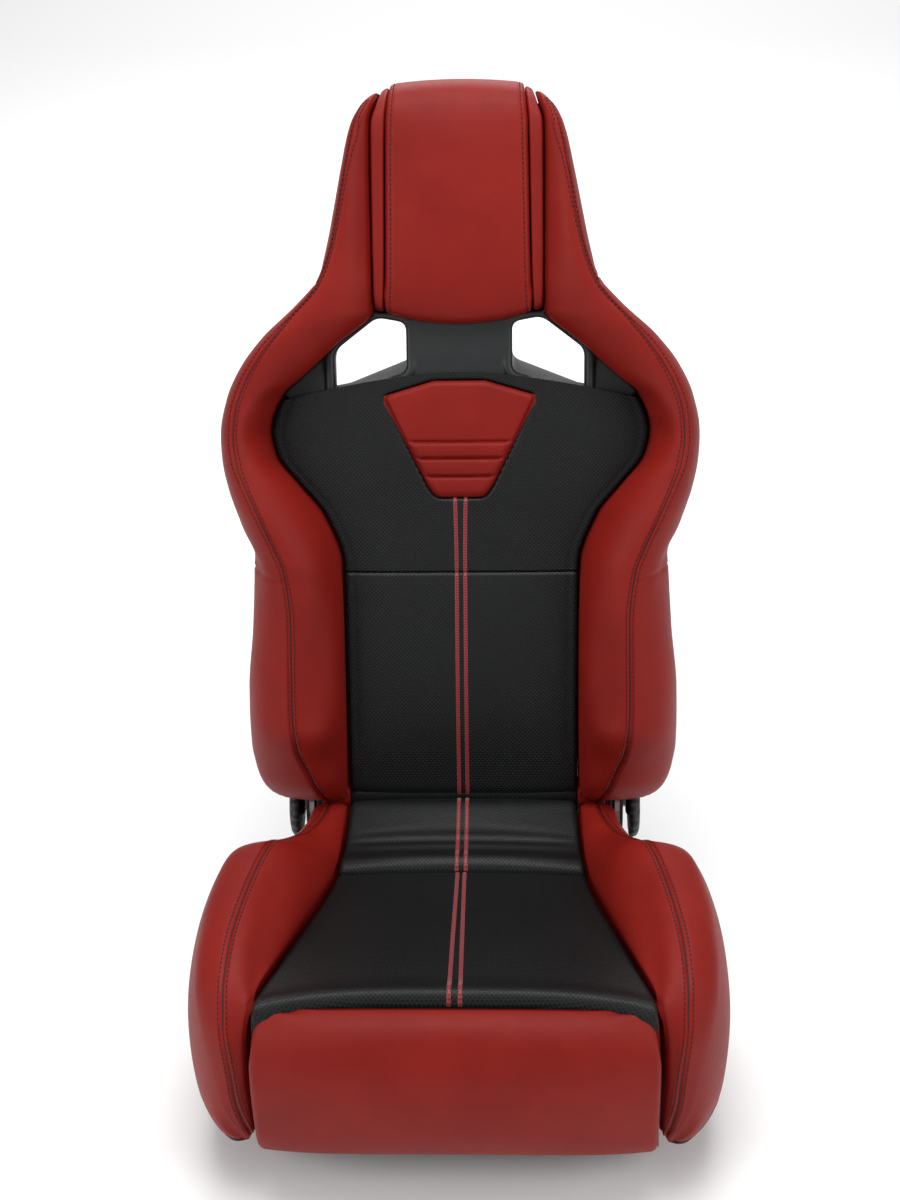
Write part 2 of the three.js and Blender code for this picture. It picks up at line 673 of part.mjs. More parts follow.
function rearShell() {
  const slot = (path) => slab(path.getPoints(3).slice(0, -1).map((p) => [p.x, p.y]), 0, 2 * SHELL_DEPTH);
  const slots = [slotPath(SHELL_ARCH, 4), flipped(slotPath(SHELL_ARCH, 4))].map(slot);
  const screwHoles = SCREW_PLACES.map(([x, h]) => {
    const hole = new THREE.CylinderGeometry(SCREW_RADIUS + GAP, SCREW_RADIUS + GAP, 60, 10);
    return hole.translate(x, SHELL_DEPTH - SHELL_EDGE, h);
  });
  const shaftHoles = [-1, 1].map((side) => {
    const [a, b] = [side * MEMBER_INNER, side * (HIP_HALF + 20)];
    return rod(LEVER_SHAFT + 1, Math.min(a, b), Math.max(a, b), -LEVER_DEPTH, LEVER_HEIGHT, 14);
  });
  const well = rod(WELL_RADIUS, -HIP_HALF - 40, HIP_HALF + 40);
  const armSlots = [-1, 1].map((side) => {
    const [a, b] = [side * (ARM_INNER - ARM_CLEAR), side * (ARM_INNER + PLATE + ARM_CLEAR)];
    const [low, high] = [SHELL_BOTTOM - 20, ARM_LENGTH + ARM_CLEAR];
    return box(Math.min(a, b), Math.max(a, b), 0, 2 * SHELL_DEPTH, low, high);
  });
  return cut(shellBody(), well, ...slots, ...screwHoles, ...shaftHoles, ...armSlots);
}

// A pan-head screw that points forwards from the back of the shell.
function shellScrew(x, height) {
  const back = SHELL_DEPTH - SHELL_EDGE + GAP;
  const shank = [[0, -14], [SCREW_RADIUS, -14], [SCREW_RADIUS, 0]];
  const profile = [...shank, [SCREW_HEAD, 0], [SCREW_HEAD - 1, 2.4], [0, 3.2]];
  const screw = turned(profile, 12).rotateZ(Math.PI / 2);
  return screw.translate(x, back, height);
}

// ---------------------------------------------------------------- back frame

// The outline of a side plate: a boss round the hinge and a strip up the back.
function stripOutline(boss, top) {
  const front = -(FRAME_DEPTH + FRAME_WIDTH / 2);
  const rear = -(FRAME_DEPTH - FRAME_WIDTH / 2);
  const rise = (y) => Math.sqrt(boss ** 2 - y ** 2);
  const from = THREE.MathUtils.radToDeg(Math.atan2(rise(front), front));
  const to = THREE.MathUtils.radToDeg(Math.atan2(boss * 0.3, boss * 0.95));
  const round = arc(0, 0, boss, from, 360 + to, 20);
  return [...round, [rear, boss + 24], [rear, top - 6], [rear - 6, top], [front + 6, top], [front, top - 6]];
}

function sideMember() {
  const outline = stripOutline(ARM_BOSS - 3, MEMBER_TOP);
  const body = plate(outline, MEMBER_INNER, PLATE, [[0, 0, SHAFT_HOLE]]);
  const lip = -FRAME_DEPTH + 8;
  const flange = box(MEMBER_INNER - 16, MEMBER_INNER + 1, lip, lip + PLATE, FLANGE_BOTTOM, MEMBER_TOP - 10);
  const [inner, outer] = [MEMBER_INNER - 2, MEMBER_INNER + PLATE + 2];
  const hole = rod(LEVER_SHAFT + 2, inner, outer, -LEVER_DEPTH, LEVER_HEIGHT, 14);
  return cut(join(body, flange), hole);
}

const reclinerArm = () => plate(stripOutline(ARM_BOSS, ARM_LENGTH), ARM_INNER, PLATE, [[0, 0, SHAFT_HOLE]]);

function tubeAcross(half, y, z) {
  const inner = TUBE_RADIUS - TUBE_WALL;
  const profile = [[inner, -half], [TUBE_RADIUS, -half], [TUBE_RADIUS, half], [inner, half], [inner, -half]];
  return turned(profile, 16).translate(0, y, z);
}

const crossMember = () => tubeAcross(MEMBER_INNER - GAP, -FRAME_DEPTH + 4, 56);

function upperLoop() {
  const y = -FRAME_DEPTH;
  const foot = MEMBER_TOP + LOOP_RADIUS;
  const half = [
    [MEMBER_INNER + 2, y, foot],
    [MEMBER_INNER + 3, y, BEZEL_CORNER + 22],
    [mix(SLOT_INNER, BEZEL_HALF, 0.68), y, HEAD_FOOT - 14],
    [HEAD_SEAM_HALF + 18, y, NECK_HEIGHT + 6],
    [HEAD_SEAM_HALF + 2, y, mix(NECK_HEIGHT, CROWN_HEIGHT, 0.6)],
    [HEAD_SEAM_HALF - 22, y, CROWN_HEIGHT - 8],
  ];
  const other = half.map(([x, py, z]) => [-x, py, z]).reverse();
  return bar([...half, ...other], LOOP_RADIUS, 7, 36);
}

// Wires of the lumbar mat: two uprights and five crosswires.
function lumbarMat() {
  const wire = 2;
  const y = 4;
  const half = PANEL_HALF - 16;
  const [low, high] = [HIP_HEIGHT, WAIST_HEIGHT + 20];
  const across = Array.from({ length: 5 }, (_, i) => {
    return rod(wire, -half, half, y, mix(low + 8, high - 8, i / 4), 6);
  });
  const upright = [-1, 1].map((side) => {
    const bar = new THREE.CylinderGeometry(wire, wire, high - low, 6).rotateX(Math.PI / 2);
    return bar.translate(side * (half - 30), y, (low + high) / 2);
  });
  return join(across[0], ...across.slice(1), ...upright);
}

// ---------------------------------------------------------------- fold lever

const LEVER_INNER = HIP_HALF - SHELL_INSET + 2.4;

function foldLever() {
  const y = -LEVER_DEPTH;
  const tip = LEVER_HEIGHT - LEVER_LENGTH;
  const top = arc(y, LEVER_HEIGHT, 11, 0, 180, 8);
  const end = arc(y + 2, tip, 8, 180, 360, 8);
  return plate([...top, ...end], LEVER_INNER, LEVER_THICKNESS);
}

const PAWL_INNER = ARM_INNER + GAP;

function leverShaft() {
  const inner = PAWL_INNER + PLATE + GAP;
  return rod(LEVER_SHAFT, inner, LEVER_INNER - GAP, -LEVER_DEPTH, LEVER_HEIGHT, 14);
}

function latchPawl() {
  const y = -LEVER_DEPTH;
  const top = arc(y, LEVER_HEIGHT, 9, -20, 200, 8);
  const nose = ARM_LENGTH + 2.5;
  const tooth = [[y - 6, nose + 6], [y - 3, nose], [y + 6, nose], [y + 8, nose + 8]];
  return plate([...top, ...tooth], PAWL_INNER, PLATE);
}

// A torsion spring wound round the lever's shaft.
function leverSpring() {
  const [turns, pitch, radius] = [4, 3.4, LEVER_SHAFT + 2.6];
  const start = PAWL_INNER + PLATE + 14;
  const steps = 8;
  const count = turns * steps;
  const points = Array.from({ length: count + 1 }, (_, i) => {
    const angle = (2 * Math.PI * i) / steps;
    const [y, z] = [radius * Math.cos(angle), radius * Math.sin(angle)];
    return [start + (pitch * i) / steps, y - LEVER_DEPTH, z + LEVER_HEIGHT];
  });
  return bar(points, 1, 4, count);
}

// ---------------------------------------------------------------- recliner, at the hinge

function reclinerDisc() {
  const [a, b] = [DISC_INNER, DISC_INNER + DISC_THICKNESS];
  const step = DISC_RADIUS - 5;
  const rim = [[step, a], [DISC_RADIUS, a + 2], [DISC_RADIUS, b]];
  return turned([[SHAFT_HOLE, a], ...rim, [SHAFT_HOLE, b], [SHAFT_HOLE, a]]);
}

const crossShaft = () => rod(SHAFT_RADIUS, -WHEEL_INNER - 10, WHEEL_INNER + 10);

function handwheel() {
  const [a, b] = [WHEEL_INNER, WHEEL_INNER + WHEEL_THICKNESS];
  const bore = SHAFT_RADIUS + GAP;
  const profile = [
    [0, WHEEL_INNER + 10 + GAP],
    [bore, WHEEL_INNER + 10 + GAP],
    [bore, a],
    [14, a],
    [16, a + 3],
    [WHEEL_RADIUS - 6, a + 3],
    [WHEEL_RADIUS - 1, a + 3],
    [WHEEL_RADIUS, a + 6],
    [WHEEL_RADIUS - 2, b - 4],
    [WHEEL_RADIUS - 8, b],
    [0, b],
  ];
  return turned(profile, 24);
}

// The bolts of a lower bracket, as [y, z] in the seat's own frame.
const BOLT_PLACES = [[HINGE_Y - 32, 40], [HINGE_Y + 14, 40]];

function lowerBracket() {
  const round = arc(HINGE_Y, HINGE_Z, DISC_RADIUS + 1, -30, 210, 16);
  const front = [[HINGE_Y - 36, HINGE_Z - 50], [HINGE_Y - 50, 24]];
  const outline = [...round, ...front, [HINGE_Y + 32, 24], [HINGE_Y + 30, 90]];
  const holes = BOLT_PLACES.map(([y, z]) => [y, z, BOLT_RADIUS + GAP]);
  return plate(outline, BRACKET_INNER, PLATE, [[HINGE_Y, HINGE_Z, SHAFT_HOLE], ...holes]);
}

function bracketBolt([y, z]) {
  const face = BRACKET_INNER + PLATE + GAP;
  const inner = BASE_INNER - 4;
  const head = [[BOLT_HEAD, face], [BOLT_HEAD, face + 5], [0, face + 5]];
  return turned([[0, inner], [BOLT_RADIUS, inner], [BOLT_RADIUS, face], ...head], 12).translate(0, y, z);
}

// ---------------------------------------------------------------- base

function sideFrame() {
  const outline = [
    [BASE_FRONT, 0],
    [BASE_REAR, 0],
    [BASE_REAR, 40],
    [BASE_REAR - 36, BASE_HEIGHT - 24],
    [HINGE_Y - 60, BASE_HEIGHT - 8],
    [BASE_FRONT + 40, BASE_HEIGHT],
    [BASE_FRONT + 8, BASE_HEIGHT - 20],
    [BASE_FRONT, 30],
  ];
  const bolts = BOLT_PLACES.map(([y, z]) => [y, z, BOLT_RADIUS + GAP]);
  const window = [[HINGE_Y - 150, 50, 20], [HINGE_Y - 230, 50, 20]];
  const web = plate(outline, BASE_INNER, PLATE, [...bolts, ...window]);
  const foot = box(FOOT_INNER, BASE_INNER + PLATE, BASE_FRONT, BASE_REAR, 0, FOOT_THICKNESS);
  const holes = [FOOT_REAR, FOOT_REAR - FOOT_SPACING].map((y) => {
    const drill = new THREE.CylinderGeometry(FOOT_HOLE, FOOT_HOLE, 3 * FOOT_THICKNESS, 16);
    return drill.rotateX(Math.PI / 2).translate(FOOT_INNER + 14, y, FOOT_THICKNESS / 2);
  });
  return cut(join(web, foot), ...holes);
}

// A pressed seat pan, dished under the hips, with a raised front.
function seatPan() {
  const half = BASE_INNER - GAP;
  const [front, rear] = [ROLL_FRONT + ROLL_THICKNESS + 30, HINGE_Y - CUSHION_REAR_CLEAR];
  return sheetBody(10, 8, (u, v, back) => {
    const x = half * (2 * u - 1);
    const y = mix(front, rear, v);
    const dish = 10 * Math.sin(Math.PI * u) ** 0.8 * Math.sin(Math.PI * v) ** 0.8;
    return new THREE.Vector3(x, y, CUSHION_BOTTOM - GAP - dish - 2.5 * back);
  });
}

// ---------------------------------------------------------------- cushion

// A middle panel of the cushion between two y values, with a crown across and a rounded top.
function cushionPad(rear, front, columns, rows) {
  return sheetBody(columns, rows, (u, v, back) => {
    const y = mix(rear, front, v);
    const across = 2 * u - 1;
    const x = across * (cushionSeam(y) - SEAM_GAP);
    const crown = 4 * (1 - across ** 2);
    return new THREE.Vector3(x, y, back ? CUSHION_BOTTOM : cushionTop(y) + crown);
  });
}

const rearCushion = () => {
  const pad = cushionPad(HINGE_Y - 50, CROSS_SEAM_Y + SEAM_GAP / 2, 6, 6);
  return cut(pad, rod(CUSHION_REAR_CLEAR, -CUSHION_HALF, CUSHION_HALF, HINGE_Y, HINGE_Z, 48));
};
const frontCushion = () => cushionPad(CROSS_SEAM_Y - SEAM_GAP / 2, FRONT_SEAM + SEAM_GAP, 8, 10);

// The front roll: a thick lip that runs from the front seam over and down to the skirt.
function frontRoll() {
  const seam = [FRONT_SEAM - SEAM_GAP, CUSHION_TOP_FRONT];
  const belly = mix(ROLL_BOTTOM, CUSHION_TOP_FRONT, 0.6);
  const rear = ROLL_FRONT + ROLL_THICKNESS;
  const over = bend(seam, [ROLL_FRONT, CUSHION_TOP_FRONT], [ROLL_FRONT, belly], 6);
  const under = bend([ROLL_FRONT, belly], [ROLL_FRONT + 4, ROLL_BOTTOM + 6], [rear - 8, ROLL_BOTTOM], 6);
  const heel = [[rear, ROLL_BOTTOM + 8], [rear, CUSHION_TOP_FRONT - 30], [seam[0] - 1, seam[1] - 6]];
  const ring = [seam, ...over, ...under, ...heel];
  const columns = 10;
  const rings = Array.from({ length: columns + 1 }, (_, i) => {
    const across = (2 * i) / columns - 1;
    return ring.map(([y, z]) => {
      const low = Math.min(1, Math.max(0, (CUSHION_TOP_FRONT - z) / 40));
      const half = mix(SEAM_FRONT_HALF - SEAM_GAP, ROLL_HALF - SEAM_GAP, low);
      const sweep = 14 * across ** 4;
      return new THREE.Vector3(across * half, y + (y < rear - 2 ? sweep : 0), z - 5 * across ** 4);
    });
  });
  return ringBody(rings, (p) => [p.y, p.z]);
}

// Stations of a cushion bolster, rear to front: distance ahead of the hinge, crest [x, z], outer edge [x, z],
// widest half-width and the height of its lower edge.
const SEAM_AHEAD = CUSHION_REACH - FRONT_SEAM_BACK;
const aheadTo = (t) => mix(CROSS_SEAM, SEAM_AHEAD, t);
const [WIDE, CREST, SKIRT] = [CUSHION_HALF, CUSHION_CREST, SKIRT_BOTTOM];
const BOLSTER_STATIONS = [
  { ahead: 44, crest: [148, 196], edge: [163, 190], half: 165, foot: CUSHION_BOTTOM },
  { ahead: 84, crest: [156, 204], edge: [168, 196], half: 170, foot: CUSHION_BOTTOM },
  { ahead: 120, crest: [172, 228], edge: [186, 214], half: 192, foot: CUSHION_BOTTOM },
  { ahead: aheadTo(0.01), crest: [187, 256], edge: [212, 238], half: 222, foot: CUSHION_BOTTOM },
  { ahead: aheadTo(0.16), crest: [199, CREST], edge: [244, 262], half: WIDE - 26, foot: SKIRT + 20 },
  { ahead: aheadTo(0.39), crest: [214, CREST - 3], edge: [258, 258], half: WIDE - 8, foot: SKIRT + 4 },
  { ahead: aheadTo(0.67), crest: [225, CREST - 12], edge: [262, 246], half: WIDE, foot: SKIRT },
  { ahead: aheadTo(0.92), crest: [228, CREST - 28], edge: [260, 226], half: WIDE - 4, foot: SKIRT },
  { ahead: SEAM_AHEAD - 1, crest: [227, CREST - 44], edge: [254, 210], half: WIDE - 13, foot: SKIRT + 2 },
  { ahead: SEAM_AHEAD, crest: [227, CREST - 45], edge: [253, 209], half: WIDE - 14, foot: SKIRT + 2 },
  { ahead: SEAM_AHEAD + 12, crest: [225, CREST - 62], edge: [247, 192], half: WIDE - 24, foot: SKIRT + 8 },
  { ahead: SEAM_AHEAD + 24, crest: [222, CREST - 92], edge: [234, 168], half: WIDE - 42, foot: SKIRT + 18 },
];

function cushionBolsterRing(station) {
  const y = HINGE_Y - station.ahead;
  const [crestX, crestZ] = station.crest;
  const isFront = station.ahead >= SEAM_AHEAD;
  const inner = (isFront ? ROLL_HALF : cushionSeam(y)) + SEAM_GAP;
  const top = isFront ? crestZ - 22 : Math.min(cushionTop(y), crestZ - 6);
  const widest = mix(station.foot, station.edge[1], 0.55);
  const slope = bend([inner, top], [mix(inner, crestX, 0.2), crestZ], station.crest, 3);
  const over = bend(station.crest, [station.edge[0] - 4, crestZ - 4], station.edge, 3);
  const belly = [station.half, widest];
  const side = bend(station.edge, [station.half + 1, mix(station.edge[1], widest, 0.4)], belly, 2);
  const under = bend(belly, [station.half, station.foot + 8], [station.half - 16, station.foot], 3);
  const skirt = Math.max(BASE_INNER + PLATE + SKIRT_CLEAR, isFront ? inner + 0.5 : 0);
  const skirtInner = station.half - 18 > skirt ? Math.max(station.half - 62, skirt) : inner + 1;
  const ring = [[inner, CUSHION_BOTTOM], [inner, top], ...slope, ...over, ...side, ...under];
  ring.push([skirtInner, station.foot], [skirtInner - 0.5, CUSHION_BOTTOM]);
  return ring.map(([x, z]) => new THREE.Vector3(x, y, z));
}

const cushionBolster = () => ringBody(BOLSTER_STATIONS.map(cushionBolsterRing), (p) => [p.x, p.z]);

// ---------------------------------------------------------------- finishes

const finish = (color, roughness, metalness = 0) => () =>
  new THREE.MeshStandardMaterial({ color, roughness, metalness });
const redLeather = finish(0x8e2a22, 0.5);
const blackLeather = finish(0x1d1f20, 0.5);
const blackPlastic = finish(0x191b1c, 0.6);
const paintedSteel = finish(0x24272a, 0.45, 0.6);
const zincSteel = finish(0x9a9ea3, 0.35, 0.9);
const springSteel = finish(0x6f747a, 0.4, 0.9);

// ---------------------------------------------------------------- the seat

const seat = new THREE.Group();
const back = new THREE.Group();
const hinge = new THREE.Group();
back.position.set(0, HINGE_Y, HINGE_Z);
back.rotation.x = -RECLINE;
hinge.position.set(0, HINGE_Y, HINGE_Z);
seat.add(back, hinge);

function add(group, name, geometry, material) {
  const mesh = new THREE.Mesh(geometry, material());
  mesh.name = name;
  group.add(mesh);
}

function addPair(group, name, geometry, material) {
  add(group, `${name}_left`, geometry, material);
  add(group, `${name}_right`, mirrored(geometry), material);
}

addPair(seat, "side_frame", sideFrame(), paintedSteel);
add(seat, "front_cross_tube", tubeAcross(BASE_INNER - GAP, BASE_FRONT + 40, 62), paintedSteel);
add(seat, "rear_cross_tube", tubeAcross(BASE_INNER - GAP, HINGE_Y - 88, 62), paintedSteel);
add(seat, "seat_pan", seatPan(), paintedSteel);
addPair(seat, "lower_bracket", lowerBracket(), zincSteel);
addPair(seat, "bracket_bolt_front", bracketBolt(BOLT_PLACES[0]), zincSteel);
addPair(seat, "bracket_bolt_rear", bracketBolt(BOLT_PLACES[1]), zincSteel);
add(seat, "cushion_rear_pad", rearCushion(), blackLeather);
add(seat, "cushion_front_pad", frontCushion(), blackLeather);
add(seat, "cushion_front_roll", frontRoll(), redLeather);
addPair(seat, "cushion_bolster", cushionBolster(), redLeather);

addPair(hinge, "recliner_disc", reclinerDisc(), zincSteel);
add(hinge, "cross_shaft", crossShaft(), zincSteel);
addPair(hinge, "handwheel", handwheel(), blackPlastic);

addPair(back, "recliner_arm", reclinerArm(), zincSteel);
addPair(back, "back_side_member", sideMember(), paintedSteel);
add(back, "back_cross_member", crossMember(), paintedSteel);
add(back, "upper_frame_loop", upperLoop(), paintedSteel);
add(back, "lumbar_mat", lumbarMat(), springSteel);
add(back, "rear_shell", rearShell(), blackPlastic);
add(back, "slot_surround", slotSurround(), blackPlastic);
add(back, "back_lower_pad", lowerPad(), blackLeather);
add(back, "back_upper_pad", upperPad(), blackLeather);
add(back, "back_inset_pad", insetPad(), redLeather);
addPair(back, "back_bolster", backBolster(), redLeather);
addPair(back, "head_wing", headWing(), redLeather);
add(back, "headrest_pad", headPad(), redLeather);
addPair(back, "headrest_strip", headStrip(), redLeather);
addPair(back, "fold_lever", foldLever(), blackPlastic);
addPair(back, "lever_shaft", leverShaft(), zincSteel);
addPair(back, "latch_pawl", latchPawl(), zincSteel);
addPair(back, "lever_spring", leverSpring(), springSteel);
SCREW_PLACES.forEach(([x, h], i) => add(back, `shell_screw_${i + 1}`, shellScrew(x, h), zincSteel));

export default seat;
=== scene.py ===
"""A reclining sports seat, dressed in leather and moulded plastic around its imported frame.

Metres in the scene, millimetres in the size fields. +Z is up and the occupant faces -Y.
Pieces of the back are drawn upright as (x, depth towards the occupant, height above the hinge).
"""
import json
import logging
import math
from collections.abc import Callable
from dataclasses import dataclass, field
from enum import Enum

import bpy
import numpy as np
from mathutils import Matrix, Vector


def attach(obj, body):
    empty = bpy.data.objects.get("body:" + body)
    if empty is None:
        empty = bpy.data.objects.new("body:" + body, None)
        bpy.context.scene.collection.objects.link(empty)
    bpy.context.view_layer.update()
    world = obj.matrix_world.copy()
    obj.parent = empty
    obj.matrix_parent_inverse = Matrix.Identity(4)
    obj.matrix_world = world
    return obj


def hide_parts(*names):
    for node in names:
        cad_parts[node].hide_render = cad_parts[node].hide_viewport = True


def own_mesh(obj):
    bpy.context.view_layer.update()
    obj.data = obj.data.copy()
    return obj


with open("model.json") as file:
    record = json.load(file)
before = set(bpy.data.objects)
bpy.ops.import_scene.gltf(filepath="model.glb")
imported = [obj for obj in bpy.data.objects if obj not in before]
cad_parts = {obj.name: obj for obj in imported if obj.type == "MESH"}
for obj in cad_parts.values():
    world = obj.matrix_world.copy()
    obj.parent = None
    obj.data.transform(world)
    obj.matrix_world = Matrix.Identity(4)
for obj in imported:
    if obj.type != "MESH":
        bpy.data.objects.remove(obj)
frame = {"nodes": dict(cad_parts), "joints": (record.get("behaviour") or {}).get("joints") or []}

MM = 0.001
Grid = np.ndarray
Curve = Callable[[Grid], Grid]
Range = tuple[float, float]
Material, Piece = bpy.types.Material, bpy.types.Object
Tree, Node, Socket = bpy.types.NodeTree, bpy.types.Node, bpy.types.NodeSocket
FORWARD, UP = np.array([0, 1, 0]), np.array([0, 0, 1])  # out of the upright back, and out of the cushion
HEADREST_SEAM = 557.0  # height at which the headrest meets the slot surround, in the middle
HEADREST_ARCH = 12.0  # how much higher that seam is at the pad's edges
PANEL_HALF = 79.0  # half of the headrest pad's width at its foot
ROW_OFFSET = 4.6  # from a crest seam to the stitch row on either side of it

logging.basicConfig(level=logging.INFO, format="%(name)s: %(message)s")
log = logging.getLogger("seat")


class Body(Enum):
    """The moving bodies that pieces ride on."""

    BASE = "seat_base"
    DRIVE = "recliner_drive"
    BACK = "backrest"
    LEVER_LEFT = "lever_left"
    LEVER_RIGHT = "lever_right"


class Slot(Enum):
    """The finish slots of the record."""

    RED = "red_leather"
    BLACK = "black_leather"
    PLASTIC = "black_plastic"
    PAINT = "painted_steel"
    ZINC = "zinc_steel"
    SPRING = "spring_steel"


class Side(Enum):
    """The occupant's left is +X."""

    LEFT = 1
    RIGHT = -1

    @property
    def label(self) -> str:
        """The side's name in piece names."""
        return self.name.lower()


# ---------------------------------------------------------------- curves and grids


@dataclass(frozen=True)
class Through:
    """A smooth curve through (position, value) points that never overshoots between them.

    Between two points the value is a cubic whose end slopes are the harmonic means of the
    slopes on both sides, or level where those slopes have opposite signs.
    """

    points: tuple[tuple[float, float], ...]

    def __call__(self, t: Grid) -> Grid:
        """Returns the curve's values at the positions t."""
        at, value = np.array(self.points, float).T
        step = np.diff(value) / np.diff(at)
        before, after = step[:-1], step[1:]
        total = np.where(before + after == 0, 1, before + after)
        inner = np.where(before * after > 0, 2 * before * after / total, 0)
        slope = np.concatenate([step[:1], inner, step[-1:]])
        t = np.clip(np.asarray(t, float), at[0], at[-1])
        i = np.clip(np.searchsorted(at, t, side="right") - 1, 0, len(at) - 2)
        width = at[i + 1] - at[i]
        k = (t - at[i]) / width
        rise = value[i] + (value[i + 1] - value[i]) * k * k * (3 - 2 * k)
        return rise + k * (1 - k) * width * ((1 - k) * slope[i] - k * slope[i + 1])


def steps(count: int) -> Grid:
    """Count even places from 0 to 1."""
    return np.linspace(0, 1, count)


def mix(a: Grid, b: Grid, t: Grid) -> Grid:
    """Returns a at t 0, b at t 1 and the straight line between them."""
    return a + (b - a) * t


def ease(t: Grid) -> Grid:
    """Returns 3t^2 - 2t^3 of t held between 0 and 1."""
    t = np.clip(t, 0, 1)
    return t * t * (3 - 2 * t)


def points_of(*columns: Grid) -> Grid:
    """Stacks coordinate arrays, spread to one shape, into points."""
    return np.stack(np.broadcast_arrays(*columns), axis=-1).astype(float)


def bend(a: Grid, b: Grid, c: Grid, t: Grid) -> Grid:
    """A quadratic bend from a to c that is pulled towards b.

    Args:
        a, b, c: points for each row, shaped (rows, k).
        t: places along the bend, from 0 to 1.

    Returns:
        Points shaped (rows, len(t), k), each (1-t)^2 a + 2t(1-t) b + t^2 c.
    """
    s = np.asarray(t, float)[None, :, None]
    a, b, c = (p[:, None, :] for p in (a, b, c))
    return (1 - s) ** 2 * a + 2 * s * (1 - s) * b + s**2 * c


def line(a: Grid, b: Grid, count: int) -> Grid:
    """Rows of count points on the straight lines from a to b, without b."""
    t = np.arange(count) / count
    return mix(a[:, None, :], b[:, None, :], t[None, :, None])


def arc_length(path: Grid) -> Grid:
    """The distance walked to each point of a path, along the axis before the last."""
    step = np.linalg.norm(np.diff(path, axis=-2), axis=-1)
    start = np.zeros(step.shape[:-1] + (1,))
    return np.concatenate([start, np.cumsum(step, axis=-1)], axis=-1)


def walk(path: Grid, spacing: float, columns: tuple[Grid, ...] = ()) -> tuple[Grid, ...]:
    """Resamples a path, and arrays that go with it, at an even spacing along it.

    Args:
        path: points.
        spacing: the distance between two places.
        columns: arrays with a row for each point of the path.

    Returns:
        The path and the arrays at the new places.
    """
    length = arc_length(path)
    count = max(2, int(round(length[-1] / spacing)) + 1)
    at = np.linspace(0, length[-1], count)
    spread = lambda values: np.stack([np.interp(at, length, v) for v in values.T], axis=-1)
    return tuple(spread(values) for values in (path, *columns))


def catmull_rom(stations: Grid, steps: int) -> Grid:
    """A Catmull-Rom run through stations, each stretch taken in the same number of steps.

    Between b and c, with a before and d after them, a place t from 0 to 1 is half of
    2b + (c - a)t + (2a - 5b + 4c - d)t^2 + (3b - a - 3c + d)t^3.

    Args:
        stations: points, or rows of points, along the first axis.
        steps: how many places each stretch has.

    Returns:
        The places along the run, with the last station at its end.
    """
    ends = np.concatenate([2 * stations[:1] - stations[1:2], stations, 2 * stations[-1:] - stations[-2:-1]])
    t = np.linspace(0, 1, steps, endpoint=False).reshape((1, -1) + (1,) * (stations.ndim - 1))
    a, b, c, d = (ends[k : len(ends) - 3 + k][:, None] for k in range(4))
    cubic = 2 * b + (c - a) * t + (2 * a - 5 * b + 4 * c - d) * t**2 + (3 * b - a - 3 * c + d) * t**3
    return np.concatenate([(cubic / 2).reshape(-1, *stations.shape[1:]), stations[-1:]])


def spline(corners: list[tuple[float, float]], count: int) -> Grid:
    """An evenly walked Catmull-Rom curve through corner points, as count points."""
    path = catmull_rom(np.array(corners, float), 24)
    length = arc_length(path)
    at = np.linspace(0, length[-1], count)
    return np.stack([np.interp(at, length, v) for v in path.T], axis=-1)


def gradients(grid: Grid, closed: bool) -> tuple[Grid, Grid]:
    """The steps of a grid of points along its rows and across them, in a ring where it is closed."""
    along = np.gradient(grid, axis=0)
    if closed:
        return along, (np.roll(grid, -1, axis=1) - np.roll(grid, 1, axis=1)) / 2
    return along, np.gradient(grid, axis=1)


def normals(grid: Grid, out: Grid, closed: bool = False) -> Grid:
    """Unit normals of a grid of points: the cross product of its steps across and along.

    Args:
        grid: rows by columns of points.
        out: a direction, or one for each point, that the normals face on average.
        closed: True where each row is a ring.

    Returns:
        A normal for each point.
    """
    along, across = gradients(grid, closed)
    cross = np.cross(across, along)
    unit = cross / np.maximum(np.linalg.norm(cross, axis=-1, keepdims=True), 1e-9)
    return unit * (1 if np.sum(unit * out) >= 0 else -1)


def outward(rings: Grid) -> Grid:
    """Unit normals of closed rings, all pointing away from the middles of the rings."""
    return normals(rings, rings - rings.mean(axis=1, keepdims=True), True)


def groove(distance: Grid, depth: float, width: float) -> Grid:
    """How far a sewn seam pulls a skin in: depth times exp(-(distance / width)^2)."""
    return -depth * np.exp(-((distance / width) ** 2))


def edge_roll(distance: Grid, radius: float) -> Grid:
    """How far a rounded edge drops at a distance inside it: a quarter circle of a radius."""
    inside = np.clip(distance, 0, radius)
    return np.sqrt(np.maximum(radius**2 - (radius - inside) ** 2, 0)) - radius


def polygon_distance(x: Grid, y: Grid, corners: Grid) -> Grid:
    """Distance of points from a closed outline: to the nearest of its sides, positive inside it.

    Args:
        x: the points' first coordinates.
        y: their second ones.
        corners: the outline's corners in order.

    Returns:
        A distance for each point.
    """
    here = points_of(x, y)[..., None, :]
    start, end = corners, np.roll(corners, -1, axis=0)
    run = end - start
    t = np.clip(np.sum((here - start) * run, -1) / np.sum(run * run, -1), 0, 1)
    away = np.linalg.norm(here - start - t[..., None] * run, axis=-1).min(-1)
    above = (start[:, 1] > here[..., 1]) != (end[:, 1] > here[..., 1])
    rise = np.where(run[:, 1] == 0, 1e-9, run[:, 1])
    crosses = here[..., 0] < start[:, 0] + run[:, 0] * (here[..., 1] - start[:, 1]) / rise
    inside = np.sum(above & crosses, -1) % 2 == 1
    return np.where(inside, away, -away)


def rounded_outline(corners: Grid, radius: float, steps: int = 6) -> Grid:
    """A closed outline whose corners are quadratic bends that start a radius away from them."""
    before, after = np.roll(corners, 1, axis=0) - corners, np.roll(corners, -1, axis=0) - corners
    shorten = lambda v: v * np.minimum(radius / np.linalg.norm(v, axis=1), 0.45)[:, None]
    bends = bend(corners + shorten(before), corners, corners + shorten(after), np.linspace(0, 1, steps))
    return bends.reshape(-1, 2)


